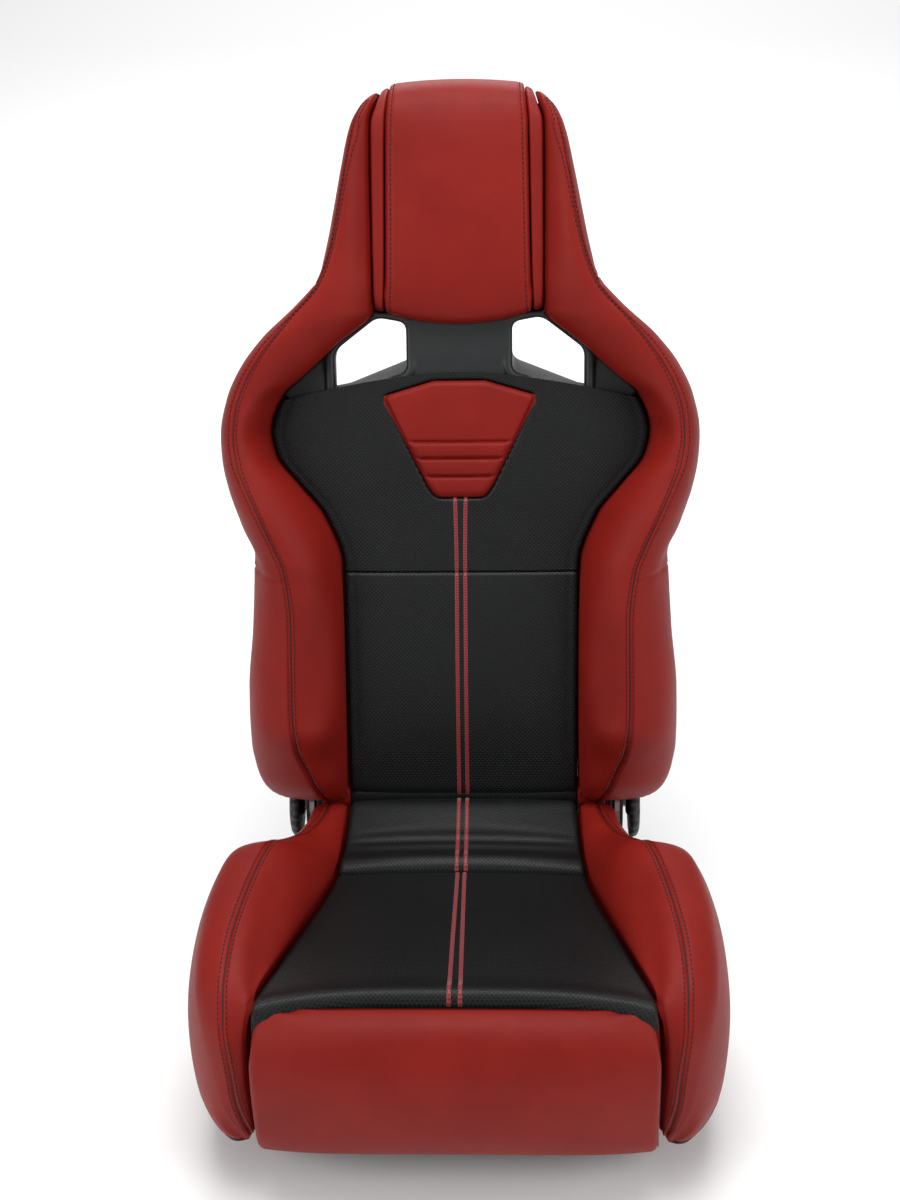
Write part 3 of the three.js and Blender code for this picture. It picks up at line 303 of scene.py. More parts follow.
# ---------------------------------------------------------------- meshes


@dataclass
class Shape:
    """Points in millimetres and faces, gathered from grids."""

    points: Grid = field(default_factory=lambda: np.zeros((0, 3)))
    faces: list[tuple[int, ...]] = field(default_factory=list)
    uv: Grid | None = None

    def add(self, points: Grid, faces: Grid | list) -> "Shape":
        """Adds points and faces that count from this call's first point."""
        start = len(self.points)
        self.points = np.concatenate([self.points, points.reshape(-1, 3)])
        rows = faces.tolist() if isinstance(faces, np.ndarray) else faces
        self.faces += [tuple(i + start for i in face) for face in rows]
        return self

    def volume(self) -> float:
        """The signed volume inside the faces, positive where they point out."""
        total = 0.0
        for size in {len(face) for face in self.faces}:
            ring = self.points[np.array([face for face in self.faces if len(face) == size])]
            for k in range(1, size - 1):
                total += float(np.sum(ring[:, 0] * np.cross(ring[:, k], ring[:, k + 1])))
        return total / 6

    def to_object(self, name: str, material: Material, sharp: float = 42) -> Piece:
        """Makes a smooth-shaded object at the origin, with faces that point out.

        Args:
            name: the piece's name.
            material: its finish.
            sharp: the angle in degrees above which an edge stays sharp.

        Returns:
            The object, linked to the scene.
        """
        if self.volume() < 0:
            self.faces = [face[::-1] for face in self.faces]
        mesh = bpy.data.meshes.new(name)
        mesh.from_pydata((self.points * MM).tolist(), [], self.faces)
        if self.uv is not None:
            loops = np.empty(len(mesh.loops), np.int32)
            mesh.loops.foreach_get("vertex_index", loops)
            layer = mesh.uv_layers.new(name="cover")
            layer.data.foreach_set("uv", (self.uv[loops] * MM).astype(np.float32).ravel())
        mesh.materials.append(material)
        mesh.shade_smooth()
        mesh.set_sharp_from_angle(angle=math.radians(sharp))
        made = bpy.data.objects.new(name, mesh)
        bpy.context.scene.collection.objects.link(made)
        return made


def grid_faces(rows: int, columns: int, closed: bool = False) -> Grid:
    """The quads of a grid of points, in a ring across where it is closed."""
    j, i = np.mgrid[0 : rows - 1, 0 : columns - (0 if closed else 1)]
    right = (i + 1) % columns
    quads = [j * columns + i, j * columns + right, (j + 1) * columns + right, (j + 1) * columns + i]
    return np.stack(quads, axis=-1).reshape(-1, 4)


def sheet_shape(front: Grid, back: Grid) -> Shape:
    """A closed body between two grids, walled round their rims.

    Args:
        front: rows by columns of points.
        back: as many points behind them.

    Returns:
        The body, its points in the order of the front and then the back.
    """
    rows, columns = front.shape[:2]
    size = rows * columns
    quads = grid_faces(rows, columns)
    index = np.arange(size).reshape(rows, columns)
    rim = np.concatenate([index[0, :-1], index[:-1, -1], index[-1, :0:-1], index[:0:-1, 0]])
    after = np.roll(rim, -1)
    walls = np.stack([after, rim, rim + size, after + size], axis=-1)
    both = np.concatenate([front.reshape(-1, 3), back.reshape(-1, 3)])
    return Shape().add(both, np.concatenate([quads, quads[:, ::-1] + size, walls]))


def loft_shape(rings: Grid) -> Shape:
    """A closed body through rings of points, each end closed to the middle of its ring."""
    count, around = rings.shape[:2]
    ends = np.stack([rings[0].mean(0), rings[-1].mean(0)])
    i = np.arange(around)
    after = (i + 1) % around
    last = (count - 1) * around
    first_cap = np.stack([np.full(around, count * around), after, i], axis=-1)
    last_cap = np.stack([np.full(around, count * around + 1), i + last, after + last], axis=-1)
    shape = Shape().add(np.concatenate([rings.reshape(-1, 3), ends]), grid_faces(count, around, True))
    shape.faces += [tuple(f) for f in np.concatenate([first_cap, last_cap]).tolist()]
    return shape


def ring_shape(rings: Grid) -> Shape:
    """A closed body through rings of points whose last ring joins the first one."""
    count, around = rings.shape[:2]
    i, last = np.arange(around), (count - 1) * around
    after = (i + 1) % around
    seam = np.stack([last + i, last + after, after, i], axis=-1)
    return Shape().add(rings, np.concatenate([grid_faces(count, around, True), seam]))


def cover_map(across: Grid, along: Grid) -> Grid:
    """A cover's map of a grid, one place for each of its points."""
    return points_of(across, along).reshape(-1, 2)


def joined(shapes: list[Shape]) -> Shape:
    """Several shapes as one."""
    whole = Shape()
    for shape in shapes:
        whole.add(shape.points, shape.faces)
    return whole


def frames_along(path: Grid, up: Grid) -> tuple[Grid, Grid, Grid]:
    """Unit directions along a path, across it, and up from the surface that it lies on."""
    along = np.gradient(path, axis=0)
    along /= np.maximum(np.linalg.norm(along, axis=1, keepdims=True), 1e-9)
    across = np.cross(up, along)
    across /= np.maximum(np.linalg.norm(across, axis=1, keepdims=True), 1e-9)
    return along, across, np.cross(along, across)


def swept(path: Grid, up: Grid, section: Grid) -> Shape:
    """A body whose section is carried along a path on a surface.

    Args:
        path: points of the path.
        up: the surface's normals there.
        section: a closed outline of places across the path and up from the surface.

    Returns:
        The closed body.
    """
    _, across, rise = frames_along(path, up)
    rings = path[:, None] + across[:, None] * section[None, :, :1] + rise[:, None] * section[None, :, 1:]
    return loft_shape(rings)


def round_section(radius: float, sides: int = 8) -> Grid:
    """A circle of points."""
    angle = np.linspace(0, 2 * np.pi, sides, endpoint=False)
    return radius * points_of(np.cos(angle), np.sin(angle))


@dataclass(frozen=True)
class Stitching:
    """A row of straight machine stitches, each a small spindle that dips into the leather at its ends."""

    pitch: float = 5.2
    length: float = 4.1
    width: float = 1.25
    lift: float = 0.3

    def row(self, path: Grid, up: Grid) -> Shape:
        """Stitches along a path on a surface.

        Each stitch is an ellipsoid: along the thread it runs as cos(a), round it as sin(a), with
        a from 0 to pi in four steps and six sides.

        Args:
            path: points of the seam in millimetres.
            up: the surface's normals there.

        Returns:
            One shape that holds every stitch of the row.
        """
        centre, rise = walk(path, self.pitch, (up,))
        along, across, rise = frames_along(centre, rise)
        a = np.linspace(0, np.pi, 5)[1:-1][:, None]
        b = np.linspace(0, 2 * np.pi, 6, endpoint=False)[None, :]
        half, thick = self.length / 2, self.width / 2
        body = points_of(half * np.cos(a), thick * np.sin(a) * np.cos(b), thick * np.sin(a) * np.sin(b))
        local = np.concatenate([[[half, 0, 0]], body.reshape(-1, 3), [[-half, 0, 0]]])
        shown = centre + rise * (self.lift * self.width)
        axes = np.stack([along, across, rise], axis=1)
        points = shown[:, None] + np.einsum("pk,nkd->npd", local, axes)
        ring = np.arange(6)
        after = (ring + 1) % 6
        caps = [[0, 1 + k, 1 + after[k]] for k in ring] + [[19, 13 + after[k], 13 + k] for k in ring]
        sides = grid_faces(3, 6, True) + 1
        shape = Shape()
        start = 20 * np.arange(len(centre))[:, None, None]
        shape.add(points, (np.array(caps)[None] + start).reshape(-1, 3))
        shape.faces += [tuple(f) for f in (sides[None, :, ::-1] + start).reshape(-1, 4).tolist()]
        return shape


def copy_across(shape: Shape) -> Shape:
    """The same shape on the other side of the seat, with its faces turned to match."""
    other = Shape(shape.points * [-1, 1, 1], [face[::-1] for face in shape.faces])
    other.uv = None if shape.uv is None else shape.uv * [-1, 1]
    return other


# ---------------------------------------------------------------- cloth


@dataclass(frozen=True)
class Stuffing:
    """Blows a sewn cover up between its seams with a short cloth simulation.

    The cover's rim is held. Pressure pushes the sheet out, and the travel is then scaled so that
    the fullest place rises by the crown.
    """

    crown: float
    cells: int = 44
    pressure: float = 4.0
    frames: int = 20

    def fill(self, sheet: Grid, out: Grid) -> Grid:
        """Returns the sheet, in millimetres, after its cover has filled.

        Args:
            sheet: the cover's points, rows by columns.
            out: the direction in which the cover may swell.
        """
        rows, columns = sheet.shape[:2]
        coarse = self._spread(sheet, self.cells, self.cells)
        moved = self._simulate(coarse, out) - coarse
        travel = float(np.linalg.norm(moved, axis=-1).max())
        if travel < 1e-6:
            return sheet
        return sheet + self._spread(moved * (self.crown / travel), rows, columns)

    def _simulate(self, coarse: Grid, out: Grid) -> Grid:
        """Runs Blender's cloth on the coarse sheet and returns its points."""
        scene = bpy.context.scene
        faces = grid_faces(*coarse.shape[:2])
        corners = coarse.reshape(-1, 3)[faces[:, :3]]
        facing = np.cross(corners[:, 1] - corners[:, 0], corners[:, 2] - corners[:, 0])
        if np.sum(facing * out) < 0:
            faces = faces[:, ::-1]
        mesh = bpy.data.meshes.new("cover_sheet")
        mesh.from_pydata((coarse.reshape(-1, 3) * MM).tolist(), [], faces.tolist())
        cover = bpy.data.objects.new("cover_sheet", mesh)
        scene.collection.objects.link(cover)
        rim = np.ones(coarse.shape[:2], bool)
        rim[1:-1, 1:-1] = False
        held = cover.vertex_groups.new(name="held")
        held.add(np.flatnonzero(rim.ravel()).tolist(), 1.0, "REPLACE")
        cloth = cover.modifiers.new("cloth", "CLOTH")
        settings = cloth.settings
        settings.quality = 5
        settings.mass = 0.4
        settings.tension_stiffness = 15
        settings.compression_stiffness = 15
        settings.shear_stiffness = 5
        settings.bending_stiffness = 0.6
        settings.use_pressure = True
        settings.uniform_pressure_force = self.pressure
        settings.vertex_group_mass = "held"
        settings.effector_weights.gravity = 0
        cloth.point_cache.frame_start = 1
        cloth.point_cache.frame_end = self.frames
        for number in range(1, self.frames + 1):
            scene.frame_set(number)
        shown = cover.evaluated_get(bpy.context.evaluated_depsgraph_get()).to_mesh()
        found = np.empty(len(shown.vertices) * 3, np.float32)
        shown.vertices.foreach_get("co", found)
        bpy.data.objects.remove(cover)
        bpy.data.meshes.remove(mesh)
        scene.frame_set(1)
        return found.astype(float).reshape(coarse.shape) / MM

    @staticmethod
    def _spread(values: Grid, rows: int, columns: int) -> Grid:
        """Resamples a grid evenly to other counts, with a smooth cubic blend between its points."""
        for axis, count in ((0, rows), (1, columns)):
            size = values.shape[axis]
            t = np.linspace(0, size - 1, count)
            i = np.clip(t.astype(int), 0, size - 2)
            k = t - i
            weights = [-k * (1 - k) ** 2, 2 - 5 * k**2 + 3 * k**3, k + 4 * k**2 - 3 * k**3, -(k**2) * (1 - k)]
            total = 0
            for step, weight in zip((-1, 0, 1, 2), weights):
                taken = np.take(values, np.clip(i + step, 0, size - 1), axis=axis)
                shape = [1] * values.ndim
                shape[axis] = count
                total = total + taken * (weight / 2).reshape(shape)
            values = total
        return values


# ---------------------------------------------------------------- finishes


def linear(hex_colour: str) -> tuple[float, float, float, float]:
    """An sRGB hex colour as linear red, green, blue and alpha."""
    values = [int(hex_colour[i : i + 2], 16) / 255 for i in (1, 3, 5)]
    plain = [v / 12.92 if v <= 0.04045 else ((v + 0.055) / 1.055) ** 2.4 for v in values]
    return (*plain, 1.0)


def add_node(
    tree: Tree, kind: str, settings: dict | None = None, links: dict | None = None
) -> Node:
    """Adds one node.

    Args:
        tree: the node tree.
        kind: the node's type name, without its prefix.
        settings: values of its attributes or, where it has none by that name, of its inputs.
        links: output sockets that feed its inputs, by input name or number.

    Returns:
        The new node.
    """
    node = tree.nodes.new(f"ShaderNode{kind}")
    for key, value in (settings or {}).items():
        if isinstance(key, str) and hasattr(node, key):
            setattr(node, key, value)
        else:
            node.inputs[key].default_value = value
    for key, socket in (links or {}).items():
        tree.links.new(socket, node.inputs[key])
    return node


def new_material(name: str) -> tuple[Material, Tree]:
    """An empty material and its node tree."""
    material = bpy.data.materials.new(name)
    material.use_nodes = True
    material.node_tree.nodes.clear()
    return material, material.node_tree


def add_shader(tree: Tree, settings: dict, links: dict) -> None:
    """Ends a material with its shader, given the shader's own values and the sockets that feed it."""
    shader = add_node(tree, "BsdfPrincipled", settings, links)
    add_node(tree, "OutputMaterial", links={"Surface": shader.outputs["BSDF"]})


def scaled(size_mm: float) -> float:
    """The scale of a pattern whose cell is size_mm across."""
    return 1 / (size_mm * MM)


@dataclass(frozen=True)
class Leather:
    """Pigmented automotive leather: tanned hide, embossed with a fine grain and sealed with a satin coat.

    The coat gives a soft wide highlight, the grain breaks it up, and the hide's tone drifts slowly.
    """

    name: str
    colour: str
    worn: str
    roughness: float
    grain: float = 2.0  # the real grain is about 1 mm, drawn twice as coarse so that it shows
    grain_height: float = 0.10
    gloss: float = 0.3  # specular level of the coat
    holes: float = 0.0  # pitch of the perforation in millimetres, or 0 for plain leather

    def material(self) -> Material:
        """Builds the leather."""
        material, tree = new_material(self.name)
        place = add_node(tree, "TexCoord").outputs["Object"]
        tone = add_node(tree, "TexNoise", {"Scale": scaled(95), "Detail": 3.0, "Roughness": 0.55}, {"Vector": place})
        soft = add_node(tree, "MapRange", {"From Min": 0.3, "From Max": 0.7}, {"Value": tone.outputs["Fac"]})
        hide = add_node(
            tree, "Mix", {"data_type": "RGBA", 6: linear(self.colour), 7: linear(self.worn)},
            {0: soft.outputs["Result"]},
        )
        colour = hide.outputs[2]
        pebble = add_node(
            tree, "TexVoronoi",
            {"feature": "SMOOTH_F1", "Scale": scaled(self.grain), "Smoothness": 0.6, "Randomness": 1.0},
            {"Vector": place},
        )
        fold = add_node(tree, "TexNoise", {"Scale": scaled(7), "Detail": 4.0, "Roughness": 0.6}, {"Vector": place})
        grain = add_node(
            tree, "Bump", {"Strength": 0.55, "Distance": self.grain_height * MM},
            {"Height": pebble.outputs["Distance"]},
        )
        surface = add_node(
            tree, "Bump", {"Strength": 0.35, "Distance": 0.35 * MM},
            {"Height": fold.outputs["Fac"], "Normal": grain.outputs["Normal"]},
        )
        rub = add_node(
            tree, "MapRange",
            {"To Min": self.roughness - 0.05, "To Max": self.roughness + 0.08},
            {"Value": fold.outputs["Fac"]},
        )
        if self.holes:
            colour, surface = self._perforate(tree, colour, surface)
        add_shader(
            tree, {"IOR": 1.5, "Specular IOR Level": self.gloss},
            {"Base Color": colour, "Roughness": rub.outputs["Result"], "Normal": surface.outputs["Normal"]},
        )
        return material

    def _perforate(
        self, tree: Tree, colour: Socket, surface: Node
    ) -> tuple[Socket, Node]:
        """Punches rows of small holes, set on the diagonal, by the distance from the middle of each cell, and paints
        each hole near-black as painted shade inside it.
        """
        cover = add_node(tree, "UVMap", {"uv_map": "cover"})
        turned = add_node(
            tree, "Mapping",
            {"Rotation": (0, 0, math.radians(45)), "Scale": (scaled(self.holes),) * 3},
            {"Vector": cover.outputs["UV"]},
        )
        cell = add_node(tree, "VectorMath", {"operation": "FRACTION"}, {0: turned.outputs["Vector"]})
        middle = add_node(
            tree, "VectorMath", {"operation": "DISTANCE", 1: (0.5, 0.5, 0.0)}, {0: cell.outputs["Vector"]}
        )
        hole = add_node(
            tree, "MapRange",
            {"interpolation_type": "SMOOTHSTEP", "From Min": 0.2, "From Max": 0.33, "To Min": 0.0, "To Max": 1.0},
            {"Value": middle.outputs["Value"]},
        )
        # painted shade: each hole is filled with near-black for the shade that falls inside it
        hole_shade = add_node(
            tree, "Mix", {"data_type": "RGBA", 6: linear("#050505")},
            {0: hole.outputs["Result"], 7: colour},
        )
        dent = add_node(
            tree, "Bump", {"Strength": 0.9, "Distance": 0.5 * MM},
            {"Height": hole.outputs["Result"], "Normal": surface.outputs["Normal"]},
        )
        return hole_shade.outputs[2], dent


@dataclass(frozen=True)
class Thread:
    """Bonded polyester thread, twisted from three strands, with a dull silky lustre."""

    name: str
    colour: str
    strand: float = 0.8  # twist pitch in millimetres

    def material(self) -> Material:
        """Builds the thread."""
        material, tree = new_material(self.name)
        place = add_node(tree, "TexCoord").outputs["Object"]
        twist = add_node(tree, "TexNoise", {"Scale": scaled(self.strand), "Detail": 2.0}, {"Vector": place})
        shade = add_node(tree, "MapRange", {"To Min": 0.7, "To Max": 1.15}, {"Value": twist.outputs["Fac"]})
        base = add_node(
            tree, "VectorMath", {"operation": "SCALE", 0: linear(self.colour)[:3]},
            {"Scale": shade.outputs["Result"]},
        )
        bump = add_node(tree, "Bump", {"Strength": 0.5, "Distance": 0.2 * MM}, {"Height": twist.outputs["Fac"]})
        add_shader(
            tree, {"Roughness": 0.7, "Specular IOR Level": 0.25},
            {"Base Color": base.outputs["Vector"], "Normal": bump.outputs["Normal"]},
        )
        return material


@dataclass(frozen=True)
class SatinStitch:
    """A band of close satin stitches: threads side by side across the band, shiny along their length."""

    name: str
    colour: str
    # the darker colour, painted into the grooves between the threads as painted shade
    shade: str
    pitch: float = 1.5  # the real threads are 0.4 mm apart, drawn coarser so that they show

    def material(self) -> Material:
        """Builds the band from the wave of its threads along the cover's own V; the wave's troughs, which the bump sets
        low, take the darker colour as painted shade between the threads.
        """
        material, tree = new_material(self.name)
        cover = add_node(tree, "UVMap", {"uv_map": "cover"})
        wave = add_node(
            tree, "TexWave",
            {"bands_direction": "Y", "Scale": scaled(self.pitch) / 6.283, "Distortion": 0.6, "Detail": 1.0},
            {"Vector": cover.outputs["UV"]},
        )
        # painted shade: the band darkens where the wave, and so the bump, is low, between the threads
        base = add_node(
            tree, "Mix", {"data_type": "RGBA", 6: linear(self.shade), 7: linear(self.colour)},
            {0: wave.outputs["Fac"]},
        )
        bump = add_node(tree, "Bump", {"Strength": 0.6, "Distance": 0.25 * MM}, {"Height": wave.outputs["Fac"]})
        add_shader(
            tree, {"Roughness": 0.42, "Sheen Weight": 0.3},
            {"Base Color": base.outputs[2], "Normal": bump.outputs["Normal"]},
        )
        return material


def hard_skin(
    name: str, colour: str, fine: dict, slow: dict, relief: dict, rub: Range, tone: Range, shader: dict
) -> Material:
    """A hard skin with a fine relief, whose tone and gloss drift slowly over it.

    Args:
        name: the material's name.
        colour: its sRGB hex colour.
        fine: the noise of the relief.
        slow: the noise of the drift.
        relief: the strength and depth of the relief.
        rub: the lowest and highest roughness.
        tone: the darkest and lightest share of the colour.
        shader: the shader's own values.

    Returns:
        The material.
    """
    material, tree = new_material(name)
    place = add_node(tree, "TexCoord").outputs["Object"]
    height = add_node(tree, "TexNoise", fine, {"Vector": place}).outputs["Fac"]
    drift = add_node(tree, "TexNoise", slow, {"Vector": place}).outputs["Fac"]
    bump = add_node(tree, "Bump", relief, {"Height": height}).outputs["Normal"]
    gloss = add_node(tree, "MapRange", {"To Min": rub[0], "To Max": rub[1]}, {"Value": drift}).outputs["Result"]
    shade = add_node(tree, "MapRange", {"To Min": tone[0], "To Max": tone[1]}, {"Value": drift}).outputs["Result"]
    scale = {"operation": "SCALE", 0: linear(colour)[:3]}
    base = add_node(tree, "VectorMath", scale, {"Scale": shade}).outputs["Vector"]
    add_shader(tree, shader, {"Base Color": base, "Roughness": gloss, "Normal": bump})
    return material


@dataclass(frozen=True)
class MouldedPlastic:
    """Glass-filled polypropylene, moulded against an etched tool: a fine leathery texture and a satin gloss."""

    name: str
    colour: str
    roughness: float
    texture: float = 1.3  # millimetres, drawn about twice as coarse as the etch

    def material(self) -> Material:
        """Builds the plastic."""
        return hard_skin(
            self.name,
            self.colour,
            fine={"Scale": scaled(self.texture), "Detail": 3.0, "Roughness": 0.65},
            slow={"Scale": scaled(60), "Detail": 2.0},
            relief={"Strength": 0.45, "Distance": 0.18 * MM},
            rub=(self.roughness - 0.06, self.roughness + 0.08),
            tone=(0.82, 1.2),
            shader={"IOR": 1.49},
        )


@dataclass(frozen=True)
class Steel:
    """Steel with a finish: powder coat with a faint orange peel, bright zinc with a drifting haze, or oiled wire."""

    name: str
    colour: str
    metallic: float
    roughness: float
    peel: float  # millimetres between the highs of the finish
    depth: float = 0.05

    def material(self) -> Material:
        """Builds the steel's finish."""
        return hard_skin(
            self.name,
            self.colour,
            fine={"Scale": scaled(self.peel), "Detail": 2.0},
            slow={"Scale": scaled(22), "Detail": 4.0, "Roughness": 0.6},
            relief={"Strength": 0.5, "Distance": self.depth * MM},
            rub=(self.roughness - 0.08, self.roughness + 0.14),
            tone=(0.8, 1.1),
            shader={"Metallic": self.metallic},
        )


@dataclass
class Finishes:
    """Every finish of the seat, made once."""

    red: Material = field(
        default_factory=Leather("red_nappa_leather", "#74120b", "#801810", 0.52, gloss=0.18).material
    )
    black: Material = field(
        default_factory=Leather("black_perforated_leather", "#0d0f10", "#121415", 0.46, gloss=0.3, holes=3.2).material
    )
    trim: Material = field(
        default_factory=Leather("black_trim_leather", "#121313", "#181919", 0.5).material
    )
    thread: Material = field(default_factory=Thread("red_topstitch_thread", "#4d0a08").material)
    # the stripe's second colour is painted shade between its threads
    stripe: Material = field(
        default_factory=SatinStitch("red_satin_stitch", "#95111a", "#4d070c").material
    )
    plastic: Material = field(
        default_factory=MouldedPlastic("black_moulded_plastic", "#1b1d1e", 0.46).material
    )
    shell: Material = field(
        default_factory=MouldedPlastic("black_shell_plastic", "#17191a", 0.4, 1.6).material
    )
    paint: Material = field(
        default_factory=Steel("black_powder_coated_steel", "#15171a", 0.0, 0.4, 2.2).material
    )
    zinc: Material = field(
        default_factory=Steel("bright_zinc_plated_steel", "#b9bdc2", 1.0, 0.34, 3.0, 0.03).material
    )
    spring: Material = field(
        default_factory=Steel("oiled_spring_steel", "#6c7076", 1.0, 0.42, 2.5, 0.03).material
    )


def place(
    piece: Piece, body: Body, slot: Slot, replaces: tuple[str, ...] = (), fill: float | None = None
) -> Piece:
    """Puts a piece on its body.

    Args:
        piece: the new object.
        body: the body that it moves with.
        slot: the record's finish slot; not used.
        replaces: the CAD nodes that it stands for.
        fill: how tight its padding is, where it is a padded piece; not used.

    Returns:
        The piece.
    """
    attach(piece, body.value)
    if replaces:
        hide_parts(*replaces)
    log.info("%s rides on %s, %d faces", piece.name, body.value, len(piece.data.polygons))
    return piece


@dataclass(frozen=True)
class Pair:
    """A piece that is made for the left side and turned across for the right one."""

    name: str
    finish: Material
    slot: Slot
    stands_for: tuple[str, ...] = ()
    fill: float | None = None
    sharp: float = 42

    def place(self, shape: Shape, left: Body, right: Body | None = None) -> None:
        """Makes both pieces from the left one's shape.

        Args:
            shape: the left piece.
            left: the body that the left piece moves with.
            right: the right piece's body, where it isn't the same one.
        """
        for side in Side:
            self.place_side(shape, side, left if side is Side.LEFT else right or left)

    def place_side(self, shape: Shape, side: Side, body: Body) -> None:
        """Makes the piece of one side."""
        turned = shape if side is Side.LEFT else copy_across(shape)
        piece = turned.to_object(f"{self.name}_{side.label}", self.finish, self.sharp)
        place(piece, body, self.slot, tuple(f"{node}_{side.label}" for node in self.stands_for), self.fill)


# ---------------------------------------------------------------- the back's own frame and curves


@dataclass(frozen=True)
class BackPlace:
    """Turns pieces drawn upright on the hinge into the leaning back."""

    hinge_y: float
    hinge_z: float
    lean: float = math.radians(20)

    def world(self, upright: Grid) -> Grid:
        """Points (x, depth, height) as seat points."""
        x, depth, height = np.moveaxis(np.asarray(upright, float), -1, 0)
        y = self.hinge_y - depth * math.cos(self.lean) + height * math.sin(self.lean)
        return points_of(x, y, self.hinge_z + depth * math.sin(self.lean) + height * math.cos(self.lean))

    def shape(self, shape: Shape) -> Shape:
        """The shape, drawn upright, moved into the leaning back."""
        shape.points = self.world(shape.points)
        return shape


@dataclass(frozen=True)
class BackSizes:
    """Heights, half-widths and depths of the back, in millimetres."""

    bottom: float = 28
    seam: float = 283
    corner: float = 480
    top: float = 815
    wing_top: float = 800
    outer: Through = Through(
        ((28, 216), (48, 231), (66, 238), (84, 241), (154, 240), (224, 232), (300, 228), (344, 242), (378, 254),
         (411, 261), (440, 262.5), (478, 255), (510, 240), (543, 213), (576, 175), (608, 151), (640, 140.6),
         (672, 134), (722, 124), (767, 114), (784, 106), (793, 98), (800, 89))
    )
    inner: Through = Through(
        ((28, 130), (290, 131), (347.6, 151), (381.2, 178), (413.4, 202.6), (440, 208), (480, 194), (496.4, 176.7),
         (532.8, 134.8), (571, 92), (767, 92), (788, 87), (804, 82))
    )
    crest: Through = Through(
        ((28, 151), (58, 166), (93, 180), (139, 184), (240, 183), (293, 189), (320, 199), (351, 213), (384, 227),
         (412, 237), (440, 241), (464, 239), (499, 227), (531, 208), (565, 181), (598, 151), (622, 140), (659, 130),
         (729, 117), (767, 108), (789, 97), (804, 87))
    )
    crest_depth: Through = Through(
        ((28, 72), (64, 102), (120, 130), (330, 130), (480, 112), (608, 92), (767, 80), (792, 62), (804, 48))
    )
    inner_depth: Through = Through(
        ((28, 54), (100, 60), (440, 54), (480, 50), (552.8, 52), (571, 62), (608, 70), (767, 68), (792, 57), (804, 44))
    )
    pad_depth: Through = Through(((28, 50), (68, 60), (180, 65), (300, 60), (480, 52)))
    surround_foot: Through = Through(((0, 497), (28, 497), (99, 483), (138, 468), (175, 455)))
    panel_edge: Through = Through(((557, 82), (608, 79), (767, 76), (815, 73)))

    def slot(self, raise_sill: float = 0, grow: float = 0, flare: float = 0) -> Grid:
        """The outline of the left harness slot, its sill raised, its sides grown and its outer side flared."""
        sill = lambda x: float(self.surround_foot(np.array([x]))[0]) + 10 + raise_sill * (1 - x / 194) - grow
        wide = 137 + grow + flare
        corners = [(58 - grow, sill(58)), (wide, sill(wide)), (wide, 527)]
        corners += [(90 + grow + flare, 563 + grow), (58 - grow, 557 + grow)]
        return rounded_outline(np.array(corners), 9)

    def inset(self) -> Grid:
        """The outline of the inset pad, walked round from its lower left."""
        half = [(26, 366), (35, 377), (83, 478), (28, 494.2)]
        both = [(x, h) for x, h in half] + [(-x, h) for x, h in reversed(half)]
        return rounded_outline(np.array(both), 7)


def sample(grid: Grid, rows: Grid, columns: Grid) -> Grid:
    """Values of a grid, blended between the four nearest.

    Args:
        grid: rows by columns of values.
        rows: fractional rows.
        columns: fractional columns.

    Returns:
        One value for each row and column given.
    """
    i = np.clip(rows.astype(int), 0, grid.shape[0] - 2)
    j = np.clip(columns.astype(int), 0, grid.shape[1] - 2)
    u, v = (rows - i)[:, None], (columns - j)[:, None]
    low = mix(grid[i, j], grid[i, j + 1], v)
    return mix(low, mix(grid[i + 1, j], grid[i + 1, j + 1], v), u)


def crest_seam(from_crest: Grid, swell: float) -> Grid:
    """How far a crest moves out where it is sewn: a seam with a stitch row beside it on a swell.

    Args:
        from_crest: the distance from the seam, negative on one side.
        swell: how far the padding stands up under the rows.

    Returns:
        The seam's groove, a shallow groove under each row, and a Gaussian swell round each row.
    """
    from_row = np.abs(from_crest) - ROW_OFFSET
    return groove(from_crest, 2.8, 1.9) + groove(from_row, 0.5, 1.1) + swell * np.exp(-((from_row / 2.6) ** 2))


@dataclass(frozen=True)
class SewnSkin:
    """The rings of a sewn cover, along which stitches, dark seam cords of painted shade and piping are laid."""

    rings: Grid
    arc: Grid
    crest: int
    left_out: tuple[int, int] = (0, 0)

    def run(self, column: Grid | float, low: float = -np.inf, high: float = np.inf) -> tuple[Grid, Grid]:
        """Follows a column of the skin.

        Args:
            column: the fractional column, or one for each ring.
            low: the height below which places are left out.
            high: the height above which they are left out.

        Returns:
            The places and the normals there.
        """
        rows = self._rows()
        columns = np.full_like(rows, column)
        path, up = sample(self.rings, rows, columns), sample(outward(self.rings), rows, columns)
        keep = (path[:, 2] > low) & (path[:, 2] < high)
        return path[keep], up[keep]

    def stitches(self, stitching: Stitching, low: float = -np.inf, high: float = np.inf) -> Shape:
        """Both stitch rows, each at its offset from the crest over the width of the next column."""
        at, rows = self._rows().astype(int), []
        for offset, near in ((-ROW_OFFSET, self.crest - 1), (ROW_OFFSET, self.crest)):
            step = np.maximum(self.arc[at, near + 1] - self.arc[at, near], 0.5)
            rows.append(stitching.row(*self.run(self.crest + offset / step, low, high)))
        return joined(rows)

    def _rows(self) -> Grid:
        """The rings that are followed."""
        first, last = self.left_out
        return np.arange(first, len(self.rings) - last, dtype=float)


def padded_front(grid: Grid, out: Grid, crown: float) -> Grid:
    """A cover filled by its stuffing where it has a crown."""
    return Stuffing(crown).fill(grid, out) if crown else grid


# ---------------------------------------------------------------- back panels


